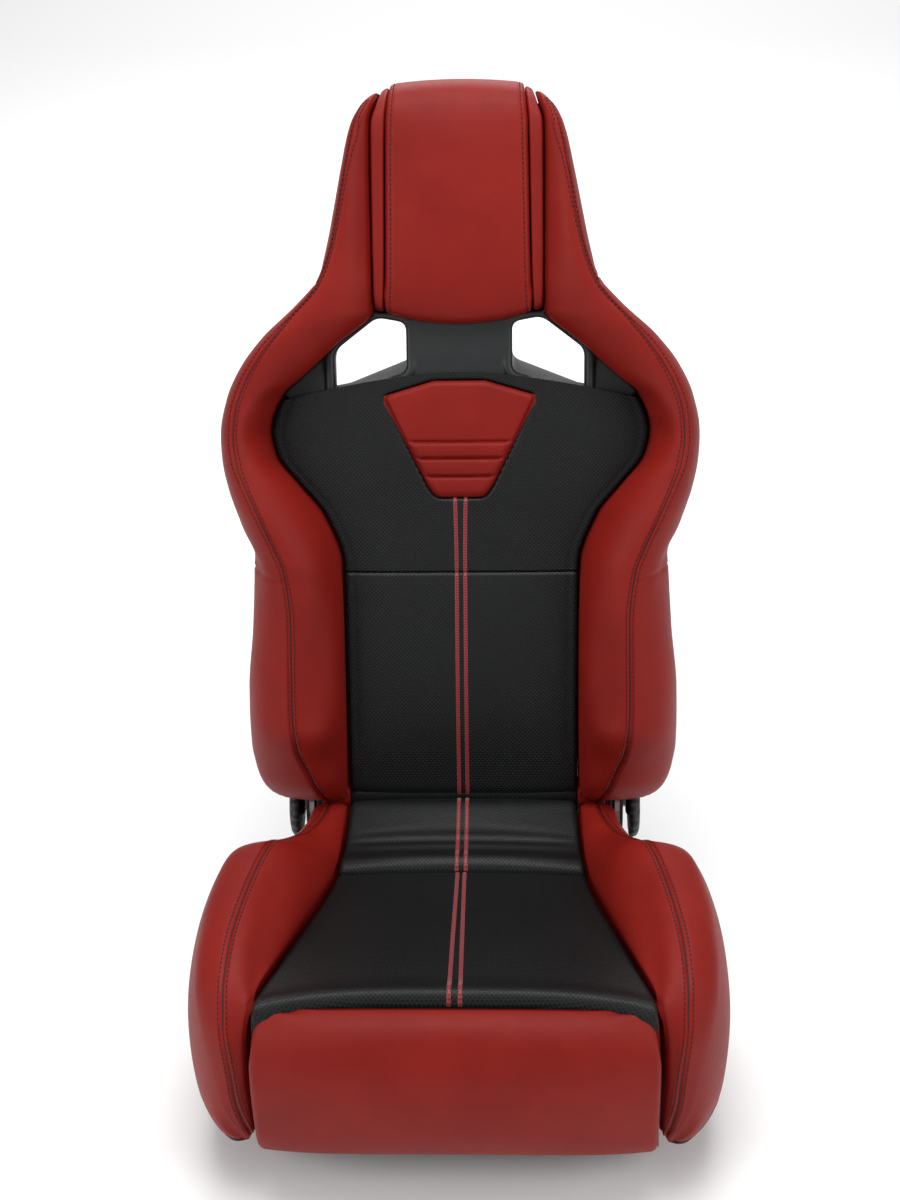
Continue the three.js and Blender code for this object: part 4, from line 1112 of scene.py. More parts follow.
@dataclass(frozen=True)
class TwinStripes:
    """Two low domed bands of satin stitch, side by side along the middle of a cover."""

    offset: float = 4.7
    width: float = 4.2
    rise: float = 0.75
    depth: float = 1.2

    def lay(self, grid: Grid, out: Grid, rows: Grid, pitch: float, along: int, lowest: float, highest: float) -> Shape:
        """Lays both bands on a cover.

        Args:
            grid: the cover's points.
            out: the direction that its outer side faces.
            rows: the rows that the bands run over.
            pitch: the distance between two columns.
            along: the axis that the bands run along, which is the cover map's second one.
            lowest: the height below which a band stops.
            highest: the height above which a band stops.

        Returns:
            Both bands as one shape, with a cover map.
        """
        middle = (grid.shape[1] - 1) / 2
        up = normals(grid, out)
        bands = []
        for side in (-1, 1):
            columns = np.full_like(rows, middle + side * self.offset / pitch)
            path, rise = sample(grid, rows, columns), sample(up, rows, columns)
            keep = (path[:, 2] > lowest) & (path[:, 2] < highest)
            bands.append(swept(path[keep], rise[keep], self._section()))
        whole = joined(bands)
        whole.uv = whole.points[:, [0, along]].copy()
        return whole

    def _section(self) -> Grid:
        """A band's section: a dome of cos(a) across and the 0.7th power of sin(a) up, on a square foot."""
        a = np.linspace(np.pi, 0, 9)
        dome = points_of(self.width / 2 * np.cos(a), self.rise * np.sin(a) ** 0.7)
        foot = points_of([self.width / 2, -self.width / 2], [-self.depth, -self.depth])
        return np.concatenate([dome, foot])


@dataclass
class BackPanels:
    """Black perforated covers of the back, the red inset with its channels, and the twin stripes."""

    finishes: Finishes
    place: BackPlace
    sizes: BackSizes = field(default_factory=BackSizes)
    seam_gap: float = 0.7
    foam_back: float = 4
    pocket: float = 13
    channels: tuple[float, ...] = (428, 410, 390)
    stripes: TwinStripes = field(default_factory=TwinStripes)
    stripes_start: float = 20
    stripes_end: float = 366.5
    inset_foot: float = 366
    inset_height: float = 128.2
    inset_corner: float = 11
    inset_half: tuple[float, float] = (35, 83)

    def build(self) -> None:
        """Builds the two covers, the inset and the stripes."""
        lower_top = self.sizes.seam - self.seam_gap / 2
        lower = self._cover(self.sizes.bottom - 3, lambda across: np.full_like(across, lower_top), 130, 120)
        upper = self._cover(self.sizes.seam + self.seam_gap / 2, self._upper_top, 190, 170)
        self._finish(lower, "back_lower_pad_cover", "back_lower_pad", 3.5, False)
        self._finish(upper, "back_upper_pad_cover", "back_upper_pad", 2.5, True)
        self._inset()
        self._tail()

    def _tail(self) -> None:
        """The lower cover's tail, which wraps the hinge and closes the crease above the cushion."""
        corners = [(40, 40), (50, 30), (50, 18), (44, 6), (33, -6), (18, -20), (0, -26), (-19, -17), (-26, 0)]
        corners += [(-18, 20), (2, 34)]
        ring = spline(corners + corners[:1], 61)[:-1]
        parts = (
            ("back_lower_tail", -129.0, 129.0, self.finishes.black, Slot.BLACK),
            ("back_side_tail_left", 130.0, 162.0, self.finishes.red, Slot.RED),
            ("back_side_tail_right", -162.0, -130.0, self.finishes.red, Slot.RED),
        )
        for name, start, end, finish, slot in parts:
            x = np.linspace(-1, 1, 40)[:, None]
            fall = 1 - 0.1 * np.abs(x) ** (12 if slot is Slot.BLACK else 6)
            across = mix(start, end, (x + 1) / 2)
            rings = points_of(across, ring[:, 0][None, :] * fall, ring[:, 1][None, :] * fall)
            shape = loft_shape(rings)
            shape.uv = np.concatenate([cover_map(rings[..., 0], arc_length(rings)), np.zeros((2, 2))])
            place(self.place.shape(shape).to_object(name, finish), Body.BACK, slot, (), 0.6)

    def _upper_top(self, across: Grid) -> Grid:
        """The upper cover's top edge, hidden behind the slot surround."""
        return mix(self.sizes.surround_foot(np.zeros(1)) + 6, self.sizes.corner - 7, across**2)

    def _cover(self, bottom: float, top: Curve, rows: int, columns: int) -> Grid:
        """A cover's front: depth is the pad's profile less 3 times the fourth power of the place across.

        Args:
            bottom: the height of its lower edge.
            top: the height of its upper edge, by the place across from -1 to 1.
            rows: how many rows it has.
            columns: how many points each row has.

        Returns:
            The front's points, upright.
        """
        across = np.linspace(-1, 1, columns)[None, :]
        v = np.linspace(0, 1, rows)[:, None]
        height = mix(bottom, top(across), v)
        x = across * (self.sizes.inner(height) - self.seam_gap)
        return points_of(x, self.sizes.pad_depth(height) - 3 * across**4, height)

    def _finish(self, front: Grid, name: str, node: str, crown: float, is_upper: bool) -> None:
        """Fills, tucks and closes a cover, and lays its stripes.

        Args:
            front: the cover's points, upright.
            name: the piece's name.
            node: the CAD node that it stands for.
            crown: how far its fullest place rises.
            is_upper: True for the cover that holds the inset.
        """
        front = padded_front(front, FORWARD, crown)
        x, depth, height = np.moveaxis(front, -1, 0)
        side = self.sizes.inner(height) - self.seam_gap - np.abs(x)
        tuck = edge_roll(side, 5) + edge_roll(np.abs(height - self.sizes.seam), 3.5)
        tuck = tuck + groove(side - 11, 0.5, 3)
        if is_upper:
            inside = polygon_distance(x, height, self.sizes.inset())
            tuck = tuck + np.where(inside > -7, edge_roll(np.maximum(-inside, 0), 4.5), 0)
            tuck = tuck - self.pocket * ease((inside + 1.2) / 2.4)
        else:
            tuck = tuck + 1.4 * edge_roll(height - self.sizes.bottom + 3, 22)
        front = droop(points_of(x, depth + tuck, height))
        back = points_of(x, self.foam_back, height)
        shape = self.place.shape(sheet_shape(front, back))
        shape.uv = np.tile(cover_map(x, height), (2, 1))
        piece = shape.to_object(name, self.finishes.black)
        place(piece, Body.BACK, Slot.BLACK, (node,), 0.75)
        self._stripes(front, name.replace("_cover", ""), 0 if is_upper else self.stripes_start)

    def _stripes(self, front: Grid, name: str, lowest: float) -> None:
        """Lays the stripes on a cover, from its foot to its top or the foot of the inset."""
        rows = np.arange(front.shape[0], dtype=float)
        pitch = front[0, -1, 0] / ((front.shape[1] - 1) / 2)
        shape = self.stripes.lay(front, FORWARD, rows, pitch, 2, lowest, self.stripes_end)
        place(self.place.shape(shape).to_object(f"{name}_stripes", self.finishes.stripe), Body.BACK, Slot.RED)

    def _inset(self) -> None:
        """The red inset: its channels are grooves across it, with the leather puffed between them."""
        v = np.linspace(0, 1, 150)[:, None]
        u = np.linspace(-1, 1, 130)[None, :]
        above_foot = v * self.inset_height
        half = mix(*self.inset_half, np.clip((above_foot - self.inset_corner) / (112 - self.inset_corner), 0, 1))
        half = half - 9 * np.clip(1 - above_foot / self.inset_corner, 0, 1) ** 2
        top = self.inset_foot + self.inset_height - 16.2 * np.clip((np.abs(u) * self.inset_half[1] - 28) / 55, 0, 1)
        x = u * half
        height = mix(self.inset_foot + 0 * u, top, v)
        flat = points_of(x, 58.5 + 0 * x, height)
        front = padded_front(flat, FORWARD, 3.5)
        x, depth, height = np.moveaxis(front, -1, 0)
        rise = np.zeros_like(depth)
        edges = (*self.channels, self.inset_foot + 1)
        for high, low in zip(edges[:-1], edges[1:]):
            k = np.clip((height - low) / (high - low), 0, 1)
            rise += 2.6 * np.sqrt(np.sin(np.pi * k) + 1e-9) * (k > 0) * (k < 1)
        for channel in self.channels:
            rise += groove(height - channel, 2.6, 1.8)
        rise *= ease(polygon_distance(x, height, self.sizes.inset()) / 9)
        rise += edge_roll(polygon_distance(x, height, self.sizes.inset()), 5.5)
        front = points_of(x, depth + rise, height)
        back = points_of(x, 48, height)
        shape = self.place.shape(sheet_shape(front, back))
        place(shape.to_object("back_inset_cover", self.finishes.red), Body.BACK, Slot.RED, ("back_inset_pad",), 0.8)


def droop(points: Grid) -> Grid:
    """Lets the front of the back's lower edge hang by 14 mm, in front of the hinge."""
    x, depth, height = np.moveaxis(points, -1, 0)
    return points_of(x, depth, height - 14 * ease((88 - height) / 60) * ease((depth - 38) / 12))


# ---------------------------------------------------------------- red sides of the back


@dataclass
class SideCovers:
    """The red side covers: one hide from the hips to the head, seamed along its crest."""

    finishes: Finishes
    place: BackPlace
    sizes: BackSizes = field(default_factory=BackSizes)
    stitching: Stitching = field(default_factory=Stitching)
    seam_gap: float = 0.8
    edge_depth: float = 36
    shell_edge: float = 8.4
    shell_inset: float = 15
    piping: float = 1.7
    # radius of the black cord in the crest seam's groove, a dark cord for the groove's shade: painted shade
    seam: float = 0.9
    slope_points: int = 34
    side_points: int = 34

    def build(self) -> None:
        """Builds the left cover with its seam, where a black cord in the groove is painted shade, and turns a copy
        across.
        """
        rings, slope_end, side_end = self._rings()
        skin = loft_shape(rings)
        arc = arc_length(rings)
        skin.uv = np.concatenate([cover_map(arc, rings[..., 2]), np.zeros((2, 2))])
        sewn = SewnSkin(rings, arc, slope_end)
        stitches = sewn.stitches(self.stitching, 34, 792)
        piping = swept(*sewn.run(side_end + 2.0, 40, 788), round_section(self.piping))
        # painted shade: a black cord along the crest seam's groove, where the seam's shade falls
        seam_shade_cord = swept(*sewn.run(slope_end, 30, 806), round_section(self.seam))
        made = self.finishes
        groups = (
            (skin, Pair("back_side_cover", made.red, Slot.RED, ("back_bolster", "head_wing"), 0.75, 60)),
            (seam_shade_cord, Pair("back_side_seam_shade_cord", made.trim, Slot.BLACK, sharp=60)),
            (stitches, Pair("back_side_stitches", made.thread, Slot.RED, sharp=60)),
            (piping, Pair("back_side_piping", made.trim, Slot.BLACK, sharp=60)),
        )
        for shape, pair in groups:
            pair.place(self.place.shape(shape), Body.BACK)

    def _heights(self) -> Grid:
        """Ring heights, close together where both ends are rounded."""
        ends = np.array([0, 0.4, 1.2, 2.4, 4, 6, 8.5, 11.5, 15])
        low, high = self.sizes.bottom, self.sizes.wing_top
        middle = np.linspace(low + 18, high - 18, 250)
        return np.concatenate([low + ends, middle, (high - ends)[::-1]])

    def _rings(self) -> tuple[Grid, int, int]:
        """The cover's rings.

        Each ring runs from the inner seam over the crest to the outline by two quadratic bends,
        then behind it. The ends close by the quarter ellipse of the distance from them. The two
        halves are filled by cloth, and the seams are pulled in afterwards.

        Returns:
            The rings, the column of the crest and the column of the outline.
        """
        s = self.sizes
        height = self._heights()
        inner, outer = s.inner(height) + self.seam_gap, s.outer(height)
        crest = np.clip(s.crest(height), inner + 2, outer - 1.5)
        seam_depth, depth = s.inner_depth(height), s.crest_depth(height)
        back = np.full_like(height, self.foam(height))
        flat = lambda x, d: points_of(x, d, height)
        top, outline = flat(crest, depth), flat(outer, self.edge_depth + 0 * height)
        slope_pull = flat(inner + 0.2 * (crest - inner), depth - 4)
        slope = bend(flat(inner, seam_depth), slope_pull, top, steps(self.slope_points))
        side = bend(top, flat(outer - 1, depth - 6), outline, steps(self.side_points))
        slope = padded_front(slope, np.array([0.3, 1, 0]), 5)
        side = padded_front(side, np.array([1, 0.5, 0]), 3)
        heel = np.maximum(inner + 1.5, outer - self.shell_inset)
        rim, corner = flat(outer - 3, self.shell_edge), flat(heel, self.shell_edge)
        foot = flat(inner, np.minimum(back, self.shell_edge))
        wrap, under, rear = line(outline, rim, 5), line(rim, corner, 3), line(corner, foot, 4)
        wall = line(foot, slope[:, 0], 6)
        rings = np.concatenate([slope[:, :-1], side[:, :-1], wrap, under, rear, wall], axis=1)
        slope_end, side_end = self.slope_points - 1, self.slope_points + self.side_points - 2
        rings = droop(self._round_ends(rings, inner, height))
        return self._sew(rings, slope_end, side_end), slope_end, side_end

    def foam(self, height: Grid) -> Grid:
        """Depth of the foam's back."""
        return np.where(height < 597, 4.0, 8.2)

    def _round_ends(self, rings: Grid, inner: Grid, height: Grid) -> Grid:
        """Closes the depth by the quarter ellipse of the distance from either end.

        Args:
            rings: the cover's rings.
            inner: the x of the inner seam at each ring.
            height: each ring's height.

        Returns:
            The rings with both ends rounded.
        """
        low = np.clip((height - self.sizes.bottom) / 30, 0, 1)
        high = np.clip((self.sizes.wing_top - height) / 16, 0, 1)
        open_low = 0.42 + 0.58 * np.sqrt(1 - (1 - low) ** 2)
        open_high = 0.7 + 0.3 * np.sqrt(1 - (1 - high) ** 2)
        k = (open_low * open_high)[:, None]
        x, depth, _ = np.moveaxis(rings, -1, 0)
        depth = self.shell_edge + (depth - self.shell_edge) * np.where(depth > self.shell_edge, k, 1)
        x = inner[:, None] + (x - inner[:, None]) * (0.88 + 0.12 * k)
        return points_of(x, depth, rings[..., 2])

    def _sew(self, rings: Grid, slope_end: int, side_end: int) -> Grid:
        """Pulls the crest seam, the cross seams and the inner edge into the filled cover.

        Args:
            rings: the filled rings.
            slope_end: the column of the crest.
            side_end: the column of the outline.

        Returns:
            The sewn rings.
        """
        out = outward(rings)
        arc = arc_length(rings)
        from_crest = arc - arc[:, slope_end, None]
        height = rings[..., 2]
        column = np.arange(rings.shape[1])[None, :]
        on_front = column <= side_end + 3
        travel = crest_seam(from_crest, 0.7)
        share = np.clip((column - slope_end) / (side_end - slope_end), 0, 1)
        on_side = (column > slope_end) & on_front
        travel = travel + on_side * groove(height - 598 - 6 * share, 1.7, 1.6)
        travel = travel + on_side * groove(height - mix(284, 298, share), 1.7, 1.6)
        travel = travel + on_front * groove(arc, 3.0, 4.0)
        return rings + out * (travel * on_front)[..., None]


# ---------------------------------------------------------------- headrest


@dataclass
class Headrest:
    """The head pad with a stitch row inside each edge, between two narrow strips."""

    finishes: Finishes
    place: BackPlace
    sizes: BackSizes = field(default_factory=BackSizes)
    stitching: Stitching = field(default_factory=Stitching)
    row_inset: float = 6.5
    row_half: float = 76
    gap: float = 0.8

    def build(self) -> None:
        """Builds the pad, its stitches and the two strips."""
        pad = self._part(lambda h: -self.sizes.panel_edge(h), self.sizes.panel_edge, 90, 0, 7.0, 4.5)
        piece = self.place.shape(loft_shape(pad)).to_object("headrest_cover", self.finishes.red, 60)
        place(piece, Body.BACK, Slot.RED, ("headrest_pad",), 0.8)
        up = normals(pad, pad - pad.mean(axis=(0, 1)), True)
        rows = []
        front = np.arange(8, 78, dtype=float)
        for side in (-1, 1):
            share = (1 + side * (self.row_half - self.row_inset) / self.row_half) / 2 * (len(pad) - 1)
            path = sample(pad, np.full_like(front, share), front)
            rise = sample(up, np.full_like(front, share), front)
            rows.append(self.stitching.row(path, rise))
        shape = self.place.shape(joined(rows))
        place(shape.to_object("headrest_stitches", self.finishes.thread), Body.BACK, Slot.RED)
        left = lambda h: self.sizes.panel_edge(h) + self.gap
        right = lambda h: np.maximum(self.sizes.inner(h) - 0.2, self.sizes.panel_edge(h) + self.gap + 4)
        strip = self._part(left, right, 16, 3, 3.0, 0)
        pair = Pair("headrest_strip_cover", self.finishes.red, Slot.RED, ("headrest_strip",), 0.7, 60)
        pair.place(self.place.shape(loft_shape(strip)), Body.BACK)

    def _profile(self, foot: float, set_back: float) -> Grid:
        """The closed side profile, walked evenly: up the front, over the top and down the back."""
        top, crown = self.sizes.top - set_back, 767
        front = [(10, foot + 3), (40, foot - 1), (56, foot), (66, foot + 8), (70, foot + 40)]
        front += [(71, mix(foot, 815, 0.6)), (67, 777), (58, 799 - set_back), (40, 812 - set_back)]
        front += [(20, top), (-2, 810 - set_back), (-13, 800)]
        path = spline(front, 90)
        path[:, 0] -= np.where(path[:, 0] > 35, set_back, 0)
        rear = np.array([(-9, 793), (1, 793), (4, 781), (4, mix(foot, crown, 0.6)), (4, foot + 12)], float)
        return np.concatenate([path, rear])

    def _part(
        self, left: Curve, right: Curve, columns: int, set_back: float, radius: float, crown: float
    ) -> Grid:
        """Rings of a part between two edges, rounded along both and filled by its stuffing.

        Args:
            left: the x of its first edge, by height.
            right: the x of its second edge, by height.
            columns: how many rings run across it.
            set_back: how far its front lies behind the pad's.
            radius: the radius of its edges.
            crown: how far its fullest place rises, or 0 for a part that isn't filled.

        Returns:
            The rings, each a closed side profile.
        """
        share = np.linspace(0, 1, columns)
        middle = mix(float(left(np.array([571.0]))[0]), float(right(np.array([571.0]))[0]), share)
        foot = HEADREST_SEAM + HEADREST_ARCH * (middle / PANEL_HALF) ** 2
        rings = []
        for t, low in zip(share, foot):
            profile = self._profile(float(low), set_back)
            nominal = mix(left(profile[:, 1]), right(profile[:, 1]), t)
            drop = 5 * (nominal / 76) ** 2 + 0.5 * np.maximum(np.abs(nominal) - 74, 0)
            height = profile[:, 1] - drop * ease((profile[:, 1] - 750) / 60)
            rings.append(points_of(mix(left(height), right(height), t), profile[:, 0], height))
        rings = np.array(rings)
        if crown:
            filled = padded_front(rings[:, 6:88], np.array([0, 1, 0.2]), crown)
            rings = np.concatenate([rings[:, :6], filled, rings[:, 88:]], axis=1)
        width = np.linalg.norm(rings[-1] - rings[0], axis=-1)[None, :]
        from_edge = np.minimum(share[:, None], 1 - share[:, None]) * width
        out = normals(rings, rings - rings.mean(axis=(0, 1)), True)
        travel = edge_roll(from_edge, radius)
        if crown:
            travel = travel + groove(from_edge - self.row_inset, 0.9, 1.4)
        front_only = np.zeros(rings.shape[1])
        front_only[:90] = np.minimum(1, np.minimum(np.arange(90), 89 - np.arange(90)) / 5)
        return rings + out * (travel * front_only)[..., None]


# ---------------------------------------------------------------- slot surround and shell


def cut(
    piece: Shape, keep: Shape | None, tools: list[Shape], name: str, finish: Material
) -> Piece:
    """A shape made into an object and cut by others.

    Args:
        piece: the body to cut.
        keep: what lies outside this is removed, where it is given.
        tools: what lies inside these is removed.
        name: the object's name.
        finish: its material.

    Returns:
        The cut object, with no modifier left.
    """
    base = piece.to_object(f"{name}_blank", finish)
    cutters = [(keep, "INTERSECT")] if keep else []
    cutters += [(tool, "DIFFERENCE") for tool in tools]
    used = []
    for number, (tool, operation) in enumerate(cutters):
        cutter = tool.to_object(f"{name}_tool_{number}", finish)
        used.append(cutter)
        step = base.modifiers.new(f"cut_{number}", "BOOLEAN")
        step.operation = operation
        step.solver = "EXACT"
        step.object = cutter
    shown = base.evaluated_get(bpy.context.evaluated_depsgraph_get())
    mesh = bpy.data.meshes.new_from_object(shown)
    mesh.name = name
    mesh.shade_smooth()
    mesh.set_sharp_from_angle(angle=math.radians(38))
    made = bpy.data.objects.new(name, mesh)
    bpy.context.scene.collection.objects.link(made)
    for spent in (base, *used):
        data = spent.data
        bpy.data.objects.remove(spent)
        bpy.data.meshes.remove(data)
    return made


def prism(outline: Grid, depth_from: float, depth_to: float) -> Shape:
    """A closed prism of an (x, height) outline between two depths."""
    rings = np.stack([points_of(outline[:, 0], depth, outline[:, 1]) for depth in (depth_from, depth_to)])
    return loft_shape(rings)


def tube_x(radius: float, x0: float, x1: float, depth: float, height: float, sides: int = 48) -> Shape:
    """A round solid along X."""
    a = np.linspace(0, 2 * np.pi, sides, endpoint=False)
    rings = [points_of(x, depth + radius * np.cos(a), height + radius * np.sin(a)) for x in (x0, x1)]
    return loft_shape(np.stack(rings))


@dataclass
class SlotSurround:
    """The moulded plastic surround of the two harness slots."""

    finishes: Finishes
    place: BackPlace
    sizes: BackSizes = field(default_factory=BackSizes)
    front: float = 46
    thickness: float = 24
    rim: float = 8
    rim_rise: float = 2.6

    def build(self) -> None:
        """Builds the surround and the liner of each slot."""
        outline, slot = self._outline(), self.sizes.slot()
        slots = [slot, slot * [-1, 1]]
        blank = self._blank(outline, slots)
        tools = [prism(path, 0, 90) for path in slots]
        made = cut(blank, prism(outline, 5, 80), tools, "slot_surround_moulding", self.finishes.plastic)
        lean_mesh(made, self.place)
        place(made, Body.BACK, Slot.PLASTIC, ("slot_surround",))
        Pair("slot_liner", self.finishes.plastic, Slot.PLASTIC).place(self._liner(), Body.BACK)

    def _outline(self) -> Grid:
        """The surround's outline: the pad's top edge, the side covers' seam and the headrest's foot."""
        s = self.sizes
        x = np.linspace(0, 175, 26)
        foot = np.stack([x, s.surround_foot(x)], axis=1)
        height = np.linspace(480, 569, 24)
        side = np.stack([s.inner(height) + 0.6, height], axis=1)
        x = np.linspace(74, 0, 14)
        top = np.stack([x, HEADREST_SEAM + HEADREST_ARCH * (x / PANEL_HALF) ** 2 + 0.4], axis=1)
        half = np.concatenate([foot, side, top])
        return np.concatenate([half, (half[1:-1] * [-1, 1])[::-1]])

    def _blank(self, outline: Grid, slots: list[Grid]) -> Shape:
        """The uncut front: rims stand up round the slots, and the wings beside them are set back."""
        x, height = np.meshgrid(np.linspace(-205, 205, 300), np.linspace(448, 576, 100))
        from_slot = np.minimum(*(-polygon_distance(x, height, path) for path in slots))
        inside = polygon_distance(x, height, outline)
        wing = ease((np.abs(x) - 140 - 0.35 * (height - 500)) / 8)
        bridge = ease((60 - np.abs(x)) / 10) * ease((height - 508) / 14)
        rise = self.rim_rise * (1 - ease((from_slot - self.rim) / 3.5)) * (1 - bridge)
        rise = rise - 3.2 * wing * ease((from_slot - self.rim) / 5)
        lip = np.abs(height - (self.sizes.surround_foot(np.abs(x)) + 9 + 0.2 * np.maximum(np.abs(x) - 130, 0)))
        rise = rise + 1.8 * np.exp(-((lip / 2.4) ** 2)) * ease((np.abs(x) - 126) / 10) * ease((178 - np.abs(x)) / 26)
        rise = rise + 1.6 * bridge
        rise = rise + edge_roll(np.maximum(from_slot, 0), 5) + edge_roll(np.maximum(inside, 0), 2.2)
        depth = self.front - 4 * (np.abs(x) / 190) ** 2 + rise
        front = points_of(x, depth, height)
        return sheet_shape(front, points_of(x, self.front - self.thickness, height))

    def _liner(self) -> Shape:
        """The tunnel of a slot: its outline carried back to the shell while its sill arches up."""
        rings = []
        for depth in np.linspace(42, -54, 14):
            share = ease((42 - depth) / 96)
            rings.append((self.sizes.slot(14 * share, 0.4, 8 * share), depth))
        for depth in np.linspace(-54, 30, 12):
            share = ease((42 - depth) / 96)
            rings.append((self.sizes.slot(14 * share, 2.6, 8 * share), depth))
        grid = np.stack([points_of(path[:, 0], depth, path[:, 1]) for path, depth in rings])
        return self.place.shape(ring_shape(grid))


def lean_mesh(piece: Piece, place_of: BackPlace) -> None:
    """Leans the points of a mesh that was made upright."""
    points = np.empty(len(piece.data.vertices) * 3, np.float32)
    piece.data.vertices.foreach_get("co", points)
    leaned = place_of.world(points.reshape(-1, 3).astype(float) / MM) * MM
    piece.data.vertices.foreach_set("co", leaned.astype(np.float32).ravel())
    piece.data.update()


@dataclass
class RearShell:
    """The moulded back shell: a superellipse section, a raised field and a recessed waist."""

    finishes: Finishes
    place: BackPlace
    sizes: BackSizes = field(default_factory=BackSizes)
    bottom: float = 42
    top: float = 791
    depth: float = 66
    wall: float = 3
    inset: float = 9
    edge: float = 8

    def build(self) -> None:
        """Builds the shell and cuts its slots, wells and holes."""
        arm = lambda a, b: prism(np.array([(a, 20), (b, 20), (b, 130), (a, 130)], float), 0, -140)
        slot = self.sizes.slot(14, 3, 9)
        tools = [tube_x(46, -290, 290, 0, 0), prism(slot, 0, -140), prism(slot * [-1, 1], 0, -140)]
        tools += [arm(163.6, 174.8), arm(-174.8, -163.6)]
        tools += [tube_x(5, 164, 262, -9, 150, 20), tube_x(5, -262, -164, -9, 150, 20)]
        made = cut(self._blank(), None, tools, "rear_shell_moulding", self.finishes.shell)
        lean_mesh(made, self.place)
        place(made, Body.BACK, Slot.PLASTIC, ("rear_shell",))

    def _blank(self) -> Shape:
        """Two sheets a wall apart: x goes with the root of the cosine and depth with the root of the sine."""
        return sheet_shape(self._sheet(0, True), self._sheet(self.wall, False))

    def _sheet(self, inside: float, relief: bool) -> Grid:
        """One sheet of the shell, its field raised by a rounded step where relief is asked for."""
        v = np.linspace(0, 1, 170)[:, None]
        angle = np.pi * (1 - np.linspace(0, 1, 150)[None, :])
        height = mix(self.bottom, self.top, v) + 0 * angle
        round_top = np.clip((height - 661) / 140, 0, 1)
        depth = self.depth * (1 - round_top**4) ** 0.25 - inside
        half = self.sizes.outer(height) - self.inset - inside
        x = half * np.sign(np.cos(angle)) * np.abs(np.cos(angle)) ** 0.5
        back = self.edge - depth * np.abs(np.sin(angle)) ** 0.5
        if relief:
            field_half = self.sizes.inner(height) * 0.82
            inner_field = np.minimum(field_half - np.abs(x), np.minimum(height - 150, 452 - height))
            step = 2.4 * ease(inner_field / 9)
            upper = np.minimum(70 - np.abs(x), np.minimum(height - 610, 730 - height))
            back = back + (step + 2.0 * ease(upper / 7)) * (np.sin(angle) > 0.3)
        return points_of(x, back, height)


# ---------------------------------------------------------------- cushion


@dataclass(frozen=True)
class CushionSizes:
    """Sizes of the seat cushion in millimetres."""

    rear: float = 40
    cross_seam: float = -83.1
    front_seam: float = -328.1
    roll_front: float = -385.1
    bottom: float = 136
    roll_thickness: float = 52
    roll_half: float = 203
    seam_half: float = 197
    gap: float = 0.8
    seam: Through = Through(((-385.1, 197), (-328.1, 197), (-254.6, 180.8), (-83.1, 137), (26.9, 128), (40, 127)))
    top: Through = Through(
        ((-328.1, 244), (-200, 222), (-113.1, 209), (-83.1, 206), (-40, 209), (6, 219), (24, 223), (34, 216), (40, 204))
    )


